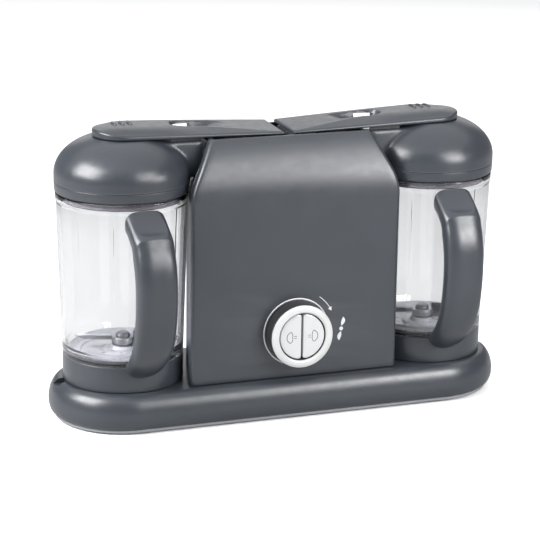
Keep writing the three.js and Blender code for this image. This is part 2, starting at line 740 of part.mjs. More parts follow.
// A compression spring from the board to the back of a button.
function buttonSpring() {
  const turns = 5;
  const steps = turns * 7;
  const radius = 3.4;
  const from = boardFront + 1;
  const to = button.back - 1;
  const points = [];
  for (let i = 0; i <= steps; i += 1) {
    const angle = (i / steps) * turns * 2 * Math.PI;
    points.push(new THREE.Vector3(radius * Math.cos(angle), radius * Math.sin(angle), from + (i / steps) * (to - from)));
  }
  const section = new THREE.Shape();
  section.absarc(0, 0, 0.55, 0, 2 * Math.PI, false);
  const wire = new THREE.ExtrudeGeometry(section, {
    steps,
    extrudePath: new THREE.CatmullRomCurve3(points),
    curveSegments: 3,
  });
  return facingFront(solid(wire).translate([9.5, 0, 0]));
}

// ---- Assembly -------------------------------------------------------------------------------
const machine = new THREE.Group();
machine.name = 'baby_food_maker';
// The grips reach further forward than the base reaches back; this shift centres the whole box on the origin.
machine.position.y = 14.36;

function addPair(parent, name, kind, makeRight) {
  const right = makeRight();
  parent.add(piece(`${name}_left`, mirrored(right), kind));
  parent.add(piece(`${name}_right`, right, kind));
}

function addBase() {
  machine.add(piece('base_shell', baseShell(), 'slate'));
  machine.add(piece('base_plate', basePlate(), 'trim'));
  for (const [depth, back] of [['front', -1], ['rear', 1]]) {
    for (const [side, way] of [['left', -1], ['right', 1]]) {
      const pad = piece(`foot_${depth}_${side}`, tube(0, foot.r, 0, foot.top, 20), 'seal');
      pad.position.set(way * foot.x, back * foot.y, 0);
      const fixing = piece(`base_screw_${depth}_${side}`, screw(), 'steel');
      fixing.position.set(way * plateScrew.x, back * plateScrew.y, 0);
      machine.add(pad, fixing);
    }
  }
  machine.add(piece('interlock_switch_left', interlockSwitch(-1), 'seal'));
  machine.add(piece('interlock_switch_right', interlockSwitch(1), 'seal'));
}

function addDrive() {
  machine.add(piece('motor_can', motorCan(), 'steel'));
  const shaft = piece('motor_shaft', motorShaft(), 'steel');
  shaft.position.y = motor.y;
  machine.add(shaft);
  for (const [side, way] of [['left', -1], ['right', 1]]) {
    const station = new THREE.Group();
    station.position.x = way * bowlX;
    station.add(piece(`drive_spindle_${side}`, driveSpindle(beltZ[side]), 'inner'));
    station.add(piece(`spindle_bush_${side}`, spindleBush(), 'inner'));
    machine.add(station);
    machine.add(piece(`drive_belt_${side}`, driveBelt(way, beltZ[side]), 'belt'));
  }
}

function addColumn() {
  machine.add(piece('front_panel', frontPanel(), 'slate'));
  machine.add(piece('rear_shell', rearShell(), 'slate'));
  machine.add(piece('top_deck', topDeck(), 'slate'));
  machine.add(piece('control_board', controlBoard(), 'board'));
  machine.add(piece('cord_gland', cordGland(), 'seal'));
  addPair(machine, 'water_tank', 'inner', waterTank);
  addPair(machine, 'heater', 'steel', heater);
  addPair(machine, 'hinge_pin', 'steel', () => rodY(hinge.pin, hinge.x, hinge.z, -hinge.half, hinge.half, 10));
}

function addLids() {
  addPair(machine, 'lid_arm', 'slate', lidArm);
  addPair(machine, 'lid_dome', 'slate', lidDome);
  addPair(machine, 'tank_stopper', 'seal', tankStopper);
  for (const [side, way] of [['left', -1], ['right', 1]]) {
    const station = new THREE.Group();
    station.position.x = way * bowlX;
    station.add(piece(`lid_ring_${side}`, lidRing(), 'slate'), piece(`lid_seal_${side}`, lidSeal(), 'seal'));
    machine.add(station);
  }
}

function addBowls() {
  for (const [side, way] of [['left', -1], ['right', 1]]) {
    const station = new THREE.Group();
    station.position.x = way * bowlX;
    const turning = new THREE.Group();
    turning.rotation.z = -way * bowlTurn[side] * degrees;
    const band = side === 'left' ? mirrored(bowlBand()) : bowlBand();
    turning.add(piece(`bowl_${side}`, bowl(), 'clear'));
    turning.add(piece(`bowl_band_${side}`, band, 'slate'));
    turning.add(piece(`handle_${side}`, handle(), 'slate'));
    station.add(turning);
    station.add(piece(`blade_hub_${side}`, bladeHub(), 'slate'), piece(`blade_${side}`, blade(), 'steel'));
    machine.add(station);
  }
}

function addControls() {
  machine.add(piece('knob_bezel', knobBezel(), 'trim'));
  machine.add(piece('knob_ring', knobRing(), 'gloss'));
  addPair(machine, 'steam_button', 'gloss', steamButton);
  addPair(machine, 'button_spring', 'steel', buttonSpring);
}

addBase();
addDrive();
addColumn();
addLids();
addBowls();
addControls();

export default machine;
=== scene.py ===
from math import acos, atan2, copysign, cos, degrees, dist, hypot, pi, radians, sin, sqrt, tan

import bmesh
import bpy
from mathutils import Matrix, Vector


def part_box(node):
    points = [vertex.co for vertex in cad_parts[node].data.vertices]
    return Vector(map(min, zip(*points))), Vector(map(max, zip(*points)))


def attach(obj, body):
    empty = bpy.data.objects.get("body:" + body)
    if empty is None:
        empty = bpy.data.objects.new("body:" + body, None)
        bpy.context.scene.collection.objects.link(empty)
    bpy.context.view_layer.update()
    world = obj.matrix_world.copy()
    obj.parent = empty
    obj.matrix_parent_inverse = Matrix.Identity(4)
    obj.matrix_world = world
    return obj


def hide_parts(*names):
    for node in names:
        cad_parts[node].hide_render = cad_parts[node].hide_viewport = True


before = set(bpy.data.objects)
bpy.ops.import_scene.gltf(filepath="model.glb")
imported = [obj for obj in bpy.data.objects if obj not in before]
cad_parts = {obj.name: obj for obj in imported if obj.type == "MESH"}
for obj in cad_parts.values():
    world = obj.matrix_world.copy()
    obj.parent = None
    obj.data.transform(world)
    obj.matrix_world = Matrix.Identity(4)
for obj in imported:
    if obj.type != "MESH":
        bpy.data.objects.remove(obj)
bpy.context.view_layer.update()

# Shapes are drawn in millimetres on the machine: X to the right, Y to the rear with 0 on the bowls'
# axes, Z up. A right-hand shape is mirrored in X for the left-hand side.
MM = 0.001
SIDES = {"left": -1, "right": 1}


# ---- Driving sizes, read off the frame ----------------------------------------------------------
def corners(node):
    """Lowest and highest corner of a CAD node in millimetres."""
    low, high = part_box(node)
    return low / MM, high / MM


ring_low, ring_high = corners("lid_ring_right")
BOWL_X = (ring_low.x + ring_high.x) / 2
AXIS_Y = (ring_low.y + ring_high.y) / 2
LID_R = (ring_high.x - ring_low.x) / 2
RING_BOTTOM = ring_low.z
RING_TOP = ring_high.z
GAP = 0.3

base_low, base_high = corners("base_shell")
BASE_R = base_high.x - BOWL_X
BASE_BOTTOM = base_low.z
plate_low, plate_high = corners("base_plate")
PLATE_R = plate_high.x - BOWL_X
PLATE_BOTTOM = plate_low.z
panel_low, panel_high = corners("front_panel")
PANEL_FRONT = panel_low.y - AXIS_Y
PANEL_HALF = panel_high.x
PANEL_BOTTOM = panel_low.z
PANEL_TOP = panel_high.z
DECK_Z = PANEL_BOTTOM - GAP
rear_high = corners("rear_shell")[1]
REAR_BACK = rear_high.y - AXIS_Y
REAR_TOP = rear_high.z
BAND_TOP = corners("bowl_band_right")[1].z
RIM_TOP = corners("bowl_right")[1].z
NECK_X = corners("lid_dome_right")[0].x
ARM_X = corners("lid_arm_right")[0].x
ARM_TOP = corners("lid_arm_right")[1].z
pin_low, pin_high = corners("hinge_pin_right")
HINGE_X = (pin_low.x + pin_high.x) / 2
HINGE_Z = (pin_low.z + pin_high.z) / 2
knob_low, knob_high = corners("knob_ring")
KNOB_Z = (knob_low.z + knob_high.z) / 2
KNOB_R = (knob_high.z - knob_low.z) / 2
KNOB_FACE = AXIS_Y - knob_low.y
button_low, button_high = corners("steam_button_right")
BUTTON_FACE = AXIS_Y - button_low.y
BUTTON_BACK = AXIS_Y - button_high.y
BUTTON_R = (button_high.z - button_low.z) / 2
BUTTON_SPLIT = button_low.x
HANDLE_REACH = 91
BOWL_TURN = {"left": 4, "right": 0}


def round_node(node):
    """Centre on the plan, radius and top height of an upright round CAD node."""
    low, high = corners(node)
    return ((low.x + high.x) / 2, (low.y + high.y) / 2 - AXIS_Y), (high.x - low.x) / 2, high.z


BOWL_AXIS = {name: (way * BOWL_X, 0) for name, way in SIDES.items()}
CORNERS = [f"{depth}_{side}" for side in SIDES for depth in ("front", "rear")]


# ---- Outline helpers ----------------------------------------------------------------------------
def smoothstep(t):
    t = min(max(t, 0), 1)
    return t * t * (3 - 2 * t)


def blend_between(a, b, t):
    return a + (b - a) * t


def rectangle(u0, v0, u1, v1):
    return [(u0, v0), (u1, v0), (u1, v1), (u0, v1)]


def ring_angles(count):
    return [2 * pi * j / count for j in range(count)]


def polar(radius, angle, centre=(0, 0)):
    return centre[0] + radius * cos(angle), centre[1] + radius * sin(angle)


def turned(x, y, angle, centre=(0, 0)):
    """A point turned about the origin and then carried to a centre."""
    c, s = cos(angle), sin(angle)
    return centre[0] + x * c - y * s, centre[1] + x * s + y * c


def arc(centre, radii, first, last, steps):
    """Points on an ellipse between two angles in degrees, both ends included."""
    angles = [radians(blend_between(first, last, i / steps)) for i in range(steps + 1)]
    return [(centre[0] + radii[0] * cos(a), centre[1] + radii[1] * sin(a)) for a in angles]


# ---- Mesh helpers -------------------------------------------------------------------------------
def to_frame(point):
    x, y, z = point
    return Vector((x * MM, (y + AXIS_Y) * MM, z * MM))


def tidy_normals(obj, sharp):
    """Welds the mesh, points its faces out and shades it smooth but for edges sharper than the angle."""
    mesh = obj.data
    bm = bmesh.new()
    bm.from_mesh(mesh)
    bmesh.ops.remove_doubles(bm, verts=bm.verts, dist=2e-6)
    bmesh.ops.dissolve_degenerate(bm, dist=1e-6, edges=bm.edges)
    bmesh.ops.recalc_face_normals(bm, faces=bm.faces)
    bm.to_mesh(mesh)
    bm.free()
    mesh.shade_smooth()
    mesh.set_sharp_from_angle(angle=radians(sharp))


def add_object(name, data):
    obj = bpy.data.objects.new(name, data)
    bpy.context.scene.collection.objects.link(obj)
    return obj


def build(name, points, faces, material=None, sharp=32):
    mesh = bpy.data.meshes.new(name)
    mesh.from_pydata([to_frame(p) for p in points], [], faces)
    obj = add_object(name, mesh)
    tidy_normals(obj, sharp)
    if material:
        mesh.materials.append(material)
    return obj


def grid_faces(rows, columns, close_rows=False, close_columns=True, start=0):
    """Four-sided faces over rows of points, wrapped round along the columns, the rows or neither."""
    faces = []
    for i in range(rows if close_rows else rows - 1):
        for j in range(columns if close_columns else columns - 1):
            near, far = i * columns, ((i + 1) % rows) * columns
            k = (j + 1) % columns
            faces.append((start + near + j, start + near + k, start + far + k, start + far + j))
    return faces


def border_faces(rows, columns):
    """Faces round the border of two open grids of equal size, the second held after the first."""
    border = list(range(columns))
    border += [i * columns + columns - 1 for i in range(1, rows)]
    border += [(rows - 1) * columns + j for j in range(columns - 2, -1, -1)]
    border += [i * columns for i in range(rows - 2, 0, -1)]
    size = rows * columns
    return [(a, b, b + size, a + size) for a, b in zip(border, border[1:] + border[:1])]


def loft(name, loops, material=None, sharp=32):
    """Skin over closed loops of equal length, with flat ends."""
    columns = len(loops[0])
    points = [p for loop in loops for p in loop]
    faces = grid_faces(len(loops), columns)
    faces += [tuple(range(columns)), tuple(range(len(points) - columns, len(points)))]
    return build(name, points, faces, material, sharp)


def merged(name, parts, material):
    """One object from several (points, faces) shells."""
    points, faces = [], []
    for part_points, part_faces in parts:
        faces += [tuple(len(points) + i for i in face) for face in part_faces]
        points += part_points
    return build(name, points, faces, material)


def rounded(outline, steps=4, closed=True):
    """Outline through (u, v, radius) corners, each rounded by its radius."""
    result = []
    count = len(outline)
    for i, (u, v, radius) in enumerate(outline):
        ends = not closed and i in (0, count - 1)
        if radius == 0 or ends:
            result.append((u, v))
            continue
        corner = Vector((u, v))
        back = (Vector(outline[i - 1][:2]) - corner).normalized()
        ahead = (Vector(outline[(i + 1) % count][:2]) - corner).normalized()
        half = back.angle(ahead) / 2
        centre = corner + (back + ahead).normalized() * radius / sin(half)
        first = corner + back * radius / tan(half) - centre
        last = corner + ahead * radius / tan(half) - centre
        start = atan2(first.y, first.x)
        sweep = (atan2(last.y, last.x) - start + pi) % (2 * pi) - pi
        for k in range(steps + 1):
            result.append(polar(radius, start + sweep * k / steps, centre))
    return result


def lathe(name, profile, material=None, centre=(0, 0), segments=144, closed=True):
    """Turns (radius, height) points about an upright axis; an open profile ends on the axis."""
    points = [(*polar(r, a, centre), z) for r, z in profile for a in ring_angles(segments)]
    return build(name, points, grid_faces(len(profile), segments, closed), material)


def lathe_front(name, profile, material=None, segments=144, closed=True, centre=(0, KNOB_Z)):
    """Turns (radius, distance in front of the bowls' axes) points about an axis along the depth."""
    points = []
    for r, depth in profile:
        ring = [polar(r, a, centre) for a in ring_angles(segments)]
        points += [(x, -depth, z) for x, z in ring]
    return build(name, points, grid_faces(len(profile), segments, closed), material)


def stadium(name, profile, material):
    """Turns (radius, height) points round both bowls' axes, with straight sides between."""
    half_steps = 56
    points = []
    for r, z in profile:
        for side, first in (("right", -90), ("left", 90)):
            half = arc(BOWL_AXIS[side], (r, r), first, first + 180, half_steps)
            points += [(x, y, z) for x, y in half]
    columns = 2 * (half_steps + 1)
    return build(name, points, grid_faces(len(profile), columns), material)


def upright_prism(name, outline, low, high, material=None):
    return loft(name, [[(x, y, z) for x, y in outline] for z in (low, high)], material)


def prism_y(name, outline, front, back, material=None):
    """An (x, z) outline stretched from front to back."""
    return loft(name, [[(x, y, z) for x, z in outline] for y in (front, back)], material)


def capsule(x0, x1, half):
    """A slot's outline along x between two ends, with round ends."""
    right = arc((x1 - half, 0), (half, half), -90, 90, 16)
    return right + arc((x0 + half, 0), (half, half), 90, 270, 16)


def cut(obj, *cutters, sharp=32, operation="DIFFERENCE"):
    """Cuts the cutters out of an object, or joins them to it, and removes them."""
    for cutter in cutters:
        modifier = obj.modifiers.new("cut", "BOOLEAN")
        modifier.operation = operation
        modifier.solver = "EXACT"
        modifier.object = cutter
    bpy.context.view_layer.update()
    evaluated = obj.evaluated_get(bpy.context.evaluated_depsgraph_get())
    finished = bpy.data.meshes.new_from_object(evaluated)
    obj.modifiers.clear()
    obj.data = finished
    for cutter in cutters:
        bpy.data.objects.remove(cutter)
    tidy_normals(obj, sharp)
    return obj


def fit(obj, body, slot, *nodes):
    """Rides on a body and stands for its CAD nodes; the slot it is given is not used."""
    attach(obj, body)
    if nodes:
        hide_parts(*nodes)
    return obj


def mirrored(obj, name):
    """The left-hand twin of a right-hand object."""
    mesh = obj.data.copy()
    for vertex in mesh.vertices:
        vertex.co.x = -vertex.co.x
    mesh.flip_normals()
    return add_object(name, mesh)


def both_sides(obj, name, body, slot, *nodes):
    """Fits a right-hand object and its left-hand twin; {} in a name stands for the side."""
    for side, piece in {"right": obj, "left": mirrored(obj, name.format("left"))}.items():
        piece.name = name.format(side)
        fit(piece, body.format(side), slot, *[node.format(side) for node in nodes])


# ---- Materials ----------------------------------------------------------------------------------
class Surface:
    """A procedural material: a Principled shader with a few shared node patterns."""

    def __init__(self, name, roughness, metallic=0.0):
        self.material = bpy.data.materials.new(name)
        self.material.use_nodes = True
        self.tree = self.material.node_tree
        self.shader = self.tree.nodes["Principled BSDF"]
        self.shader.inputs["Metallic"].default_value = metallic
        self.shader.inputs["Roughness"].default_value = roughness
        self.place = self.node("TexCoord").outputs["Object"]

    def node(self, kind):
        return self.tree.nodes.new("ShaderNode" + kind)

    def link(self, output, socket):
        self.tree.links.new(output, socket)

    def noise(self, scale, detail, stretch=None):
        node = self.node("TexNoise")
        node.inputs["Scale"].default_value = scale
        node.inputs["Detail"].default_value = detail
        place = self.place
        if stretch:
            mapping = self.node("Mapping")
            mapping.inputs["Scale"].default_value = stretch
            self.link(self.place, mapping.inputs["Vector"])
            place = mapping.outputs["Vector"]
        self.link(place, node.inputs["Vector"])
        return node.outputs["Fac"]

    def ramp(self, value, stops):
        node = self.node("ValToRGB")
        elements = node.color_ramp.elements
        while len(elements) < len(stops):
            elements.new(0.5)
        for element, (at, colour) in zip(elements, stops):
            element.position = at
            element.color = (*colour, 1)
        self.link(value, node.inputs["Fac"])
        return node.outputs["Color"]

    def cloud(self, value, dark, light):
        """A tone between two colours that follows a noise."""
        return self.ramp(value, [(0.3, dark), (0.7, light)])

    def vary_roughness(self, value, low, high):
        self.roughness(self.remap(value, 0.3, 0.7, low, high))

    def remap(self, value, low, high, new_low, new_high):
        node = self.node("MapRange")
        limits = {"From Min": low, "From Max": high, "To Min": new_low, "To Max": new_high}
        for key, number in limits.items():
            node.inputs[key].default_value = number
        self.link(value, node.inputs["Value"])
        return node.outputs["Result"]

    def mix(self, factor, first, second):
        node = self.node("Mix")
        node.data_type = "RGBA"
        self.link(factor, node.inputs["Factor"])
        for socket, source in ((node.inputs[6], first), (node.inputs[7], second)):
            if isinstance(source, tuple):
                socket.default_value = (*source, 1)
            else:
                self.link(source, socket)
        return node.outputs[2]

    def colour(self, output):
        self.link(output, self.shader.inputs["Base Color"])

    def roughness(self, output):
        self.link(output, self.shader.inputs["Roughness"])

    def bump(self, height, strength, distance):
        node = self.node("Bump")
        node.inputs["Strength"].default_value = strength
        node.inputs["Distance"].default_value = distance
        self.link(height, node.inputs["Height"])
        self.link(node.outputs["Normal"], self.shader.inputs["Normal"])

    def edge_wear(self):
        """Where the surface turns over a convex edge."""
        node = self.node("NewGeometry")
        return self.remap(node.outputs["Pointiness"], 0.52, 0.62, 0, 1)


def moulded(name, dark, light, roughness, worn=None):
    """Satin moulded plastic: faint cloudy colour, spark-eroded grain and lighter rubbed edges."""
    surface = Surface(name, roughness)
    tone = surface.cloud(surface.noise(28, 4), dark, light)
    if worn:
        tone = surface.mix(surface.edge_wear(), tone, worn)
    surface.colour(tone)
    surface.vary_roughness(surface.noise(160, 2), roughness - 0.035, roughness + 0.035)
    surface.bump(surface.noise(2600, 2), 0.05, 0.00004)
    return surface.material


def clear_plastic():
    """Clear copolyester: bends light, and lets lamps through so that what is inside stays lit."""
    surface = Surface("clear_plastic", 0.03)
    shader = surface.shader
    shader.inputs["IOR"].default_value = 1.45
    shader.inputs["Transmission Weight"].default_value = 1
    surface.colour(surface.cloud(surface.noise(30, 3), (0.966, 0.966, 0.971), (0.975, 0.975, 0.98)))
    surface.roughness(surface.remap(surface.noise(120, 4), 0.4, 0.8, 0.02, 0.07))
    surface.bump(surface.noise(45, 2), 0.08, 0.0006)
    path = surface.node("LightPath")
    see_through = surface.node("BsdfTransparent")
    see_through.inputs["Color"].default_value = (0.96, 0.962, 0.968, 1)
    mixer = surface.node("MixShader")
    surface.link(path.outputs["Is Shadow Ray"], mixer.inputs[0])
    surface.link(shader.outputs["BSDF"], mixer.inputs[1])
    surface.link(see_through.outputs["BSDF"], mixer.inputs[2])
    surface.link(mixer.outputs["Shader"], surface.tree.nodes["Material Output"].inputs["Surface"])
    return surface.material


def steel(name, tone, roughness, stretch):
    """Brushed steel: fine lines along one direction."""
    surface = Surface(name, roughness, 1.0)
    lines = surface.noise(900, 3, stretch)
    surface.colour(surface.cloud(lines, tuple(0.8 * c for c in tone), tone))
    surface.vary_roughness(lines, roughness - 0.06, roughness + 0.08)
    surface.bump(lines, 0.12, 0.00003)
    return surface.material


def glossy(name, tone, roughness):
    """Glossy lacquered plastic with faint moulding ripple and dust-fine roughness changes."""
    surface = Surface(name, roughness)
    surface.shader.inputs["Coat Weight"].default_value = 0.4
    surface.shader.inputs["Coat Roughness"].default_value = 0.08
    surface.colour(surface.cloud(surface.noise(35, 3), tuple(0.93 * c for c in tone), tone))
    surface.vary_roughness(surface.noise(200, 3), roughness * 0.7, roughness * 1.4)
    surface.bump(surface.noise(70, 2), 0.05, 0.0003)
    return surface.material


def rubber(name, tone):
    surface = Surface(name, 0.75)
    surface.colour(surface.cloud(surface.noise(60, 4), tone, tuple(1.35 * c for c in tone)))
    surface.vary_roughness(surface.noise(300, 3), 0.66, 0.84)
    surface.bump(surface.noise(1500, 3), 0.25, 0.00005)
    return surface.material


def circuit_board():
    """Green lacquered board with a pattern of copper tracks under it."""
    surface = Surface("circuit_board", 0.4)
    tracks = surface.node("TexVoronoi")
    tracks.distance = "MANHATTAN"
    tracks.feature = "DISTANCE_TO_EDGE"
    tracks.inputs["Scale"].default_value = 160
    surface.link(surface.place, tracks.inputs["Vector"])
    tones = [(0.02, (0.12, 0.26, 0.1)), (0.06, (0.02, 0.1, 0.045))]
    surface.colour(surface.ramp(tracks.outputs["Distance"], tones))
    surface.bump(tracks.outputs["Distance"], 0.3, 0.0001)
    return surface.material


SLATE_DARK = (0.0245, 0.028, 0.0345)
SLATE_LIGHT = (0.0285, 0.0325, 0.0395)
SLATE_WORN = (0.055, 0.059, 0.066)
slate = moulded("slate_plastic", SLATE_DARK, SLATE_LIGHT, 0.315, worn=SLATE_WORN)
slate_inside = moulded("slate_inside", (0.018, 0.019, 0.021), (0.022, 0.023, 0.025), 0.5)
trim = moulded("trim_plastic", (0.20, 0.21, 0.225), (0.23, 0.24, 0.255), 0.42)
pale = moulded("pale_plastic", (0.50, 0.50, 0.47), (0.58, 0.58, 0.55), 0.45)
clear = clear_plastic()
# Painted light and shade: an opaque grey for the bowls' clear floors, in place of what is seen through them.
floor_painted_shading = moulded("bowl_floor_painted_shading", (0.17, 0.17, 0.19), (0.21, 0.21, 0.235), 0.3)
seal_rubber = rubber("seal_rubber", (0.035, 0.032, 0.042))
foot_rubber = rubber("foot_rubber", (0.02, 0.02, 0.022))
belt_rubber = rubber("belt_rubber", (0.012, 0.012, 0.013))
blade_steel = steel("blade_steel", (0.33, 0.34, 0.36), 0.28, (1, 12, 12))
plain_steel = steel("plain_steel", (0.55, 0.56, 0.58), 0.3, (12, 12, 1))
white_gloss = glossy("white_gloss", (0.475, 0.48, 0.48), 0.16)
print_white = glossy("print_white", (0.55, 0.56, 0.57), 0.35)
icon_grey = glossy("icon_grey", (0.05, 0.05, 0.055), 0.4)
board_green = circuit_board()

CAD_FINISHES = (
    (plain_steel, ("base_screw", "motor_can", "motor_shaft", "heater", "hinge_pin", "button_spring")),
    (foot_rubber, ("interlock_switch", "foot", "cord_gland")),
    (pale, ("drive_spindle", "spindle_bush", "water_tank")),
    (belt_rubber, ("drive_belt",)),
    (board_green, ("control_board",)),
    (seal_rubber, ("tank_stopper",)),
    (slate, ("top_deck",)),
)


def finish_cad_nodes():
    """Gives the pieces that keep their CAD shape their finish, by how their names start."""
    for name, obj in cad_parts.items():
        for material, starts in CAD_FINISHES:
            if name.startswith(starts):
                obj.data.materials.clear()
                obj.data.materials.append(material)


# ---- Base ---------------------------------------------------------------------------------------
BASE_WALL = 5
BASE_WIDEST_Z = 15
BASE_FOOT_R = 57.9
BASE_DECK_R = 52
NOTCH = {"inner": BOWL_X + 49, "outer": BOWL_X + 59.5, "half": 6, "floor": DECK_Z - 4.2}


def base_outline():
    """The base's outside from its lower edge over the widest line to the deck."""
    lower = (BASE_R - BASE_FOOT_R, BASE_WIDEST_Z - BASE_BOTTOM)
    upper = (BASE_R - BASE_DECK_R, DECK_Z - BASE_WIDEST_Z)
    foot = arc((BASE_FOOT_R, BASE_WIDEST_Z), lower, -90, 0, 8)
    return foot + arc((BASE_DECK_R, BASE_WIDEST_Z), upper, 0, 90, 18)[1:]


def make_base():
    ceiling = DECK_Z - BASE_WALL
    inside = [(0, ceiling), (40, ceiling), (50, ceiling - 2), (BASE_FOOT_R - BASE_WALL, BASE_WIDEST_Z)]
    inside += [(BASE_FOOT_R - BASE_WALL, BASE_BOTTOM)]
    profile = inside + base_outline() + [(BASE_DECK_R - 1.5, DECK_Z), (0, DECK_Z)]
    base = stadium("base_casing", profile, slate)
    cutters = []
    for way in SIDES.values():
        n = NOTCH
        outline = rounded([(way * n["inner"], -n["half"], 0), (way * n["outer"], -n["half"], 2),
                           (way * n["outer"], n["half"], 2), (way * n["inner"], n["half"], 0)])
        cutters.append(upright_prism("notch", outline, n["floor"], DECK_Z + 5))
    fit(cut(base, *cutters), "root", "slate", "base_shell")
    seat = rounded([(36, DECK_Z + 0.1, 0), (43.2, DECK_Z + 0.1, 0), (43.2, 44, 0.8), (36, 44, 0.8)])
    for name, axis in BOWL_AXIS.items():
        fit(lathe(f"bowl_seat_{name}", seat, slate_inside, axis), "root", "slate")


def make_base_plate():
    edge = [(0, 4.2), (PLATE_R - 0.5, 4.2), (PLATE_R - 0.1, 4.05), (PLATE_R, 3.6)]
    edge += arc((PLATE_R - 0.8, 2.3), (0.8, -0.8), 0, 90, 4)
    plate = stadium("base_trim", edge + [(0, PLATE_BOTTOM)], trim)
    cutters = []
    for corner in CORNERS:
        centre, foot_r, top = round_node(f"foot_{corner}")
        r = foot_r + GAP
        pocket = rectangle(0, 0, r, top + GAP)
        cutters.append(lathe("pocket", pocket, centre=centre, segments=48, closed=False))
        centre = round_node(f"base_screw_{corner}")[0]
        hole = [(0, 0), (4.4, 0), (4.4, 3.7), (2, 3.7), (2, 8), (0, 8)]
        cutters.append(lathe("screw_hole", hole, centre=centre, segments=32, closed=False))
    fit(cut(plate, *cutters), "root", "trim", "base_plate")


def make_feet():
    for corner in CORNERS:
        name = f"foot_{corner}"
        centre, r, top = round_node(name)
        profile = rounded([(0, 0, 0), (r, 0, 0.6), (r, top, 0), (0, top, 0)], closed=False)
        profile = [(0, 0), (r - 3, 0), (r - 2.6, 0.4), (r - 2.2, 0)] + profile[1:]
        fit(lathe(f"rubber_{name}", profile, foot_rubber, centre, 64, False), "root", "seal", name)


# ---- Column -------------------------------------------------------------------------------------
BEND_START = 186
BEND_END = 208
TAPER = 0.53
LEAN_END = 230
LEAN = 0.578
PANEL_WALL = 2.5
PANEL_RETURN = 7
PANEL_FILLET = 3.6
COLUMN_SIDE = 71
CRADLE_R = 58.5
CRADLE_TOP = 205.4
CRADLE_DEPTHS = (-36, 8)
KNOB_HOLE_R = 21.9
VENTS = {"pitch": 9, "half": 1.7, "low": 66, "high": 92, "round": 1.6}
CORD = {"z": 50, "r": 6.4}
PORT = {"z": 215, "r": 5, "reach": 8}


def drift(z, slope, end):
    """How far a line that bends from the common start to an end height has moved by height z."""
    if z <= BEND_START:
        return 0
    bend = end - BEND_START
    if z <= end:
        return slope / (2 * bend) * (z - BEND_START) ** 2
    return slope * bend / 2 + slope * (z - end)


def lean(z):
    """How far the front and the back of the column lean in at a height."""
    return drift(z, LEAN, LEAN_END)


def taper(z):
    """How far the column's sides come in at a height."""
    return drift(z, TAPER, BEND_END)


def softened_rows(low, high):
    """(height, inset) rows from low to high that round both ends over a small edge."""
    edge = 1
    bend = [BEND_START + (LEAN_END - BEND_START) * i / 22 for i in range(23)]
    middle = [low + 6, low + 12, 60, 90, 120, 150, 175, 184, *bend]
    rows = arc((low + edge, edge), (-edge, -edge), 0, 90, 3)
    rows += [(z, 0) for z in middle if z < high - 4]
    return rows + arc((high - edge, edge), (edge, -edge), 90, 0, 3)


def panel_section(z, inset):
    half = PANEL_HALF - inset - taper(z)
    front = PANEL_FRONT + inset + lean(z)
    back = PANEL_FRONT + PANEL_RETURN + lean(z)
    wall = PANEL_WALL
    outline = [
        (half, back, 0.4), (half, front, PANEL_FILLET), (half - 8, front, 0), (-half + 8, front, 0),
        (-half, front, PANEL_FILLET), (-half, back, 0.4), (-half + wall, back, 0.4),
        (-half + wall, front + wall, 1.5), (half - wall, front + wall, 1.5), (half - wall, back, 0.4),
    ]
    return [(x, y, z) for x, y in rounded(outline, 6)]


def make_front_panel():
    loops = [panel_section(z, inset) for z, inset in softened_rows(PANEL_BOTTOM, PANEL_TOP)]
    panel = loft("front_casing", loops, slate)
    cut(panel, lathe_front("knob_hole", rectangle(0, 38, KNOB_HOLE_R, 60), closed=False))
    fit(panel, "root", "slate", "front_panel")


def column_section(z, inset, side_line):
    """Plan outline of the rear shell at a height, given its right side from the wing to the rear."""
    limit = PANEL_HALF - taper(z) - inset
    front = PANEL_FRONT + PANEL_RETURN + GAP + lean(z)
    back = REAR_BACK - lean(z) - inset
    half = [(min(limit, 90.4 - inset), front, 0.5)]
    for i, (x, y, r) in enumerate(side_line):
        half.append((min(limit, x - inset), max(y, front + 1 + 0.5 * i), r))
    half += [(min(limit, COLUMN_SIDE - inset), 30, 9), (59 - inset, back, 8)]
    mirrored_half = [(-x, y, r) for x, y, r in reversed(half)]
    return [(x, y, z) for x, y in rounded(half + mirrored_half, 5)]


def cradle_line():
    """Side of the column hollowed to follow the bowl beside it."""
    steps = 18
    line = []
    for i in range(steps + 1):
        y = blend_between(*CRADLE_DEPTHS, i / steps)
        line.append((BOWL_X - sqrt(CRADLE_R ** 2 - y ** 2), y, 0))
    return line


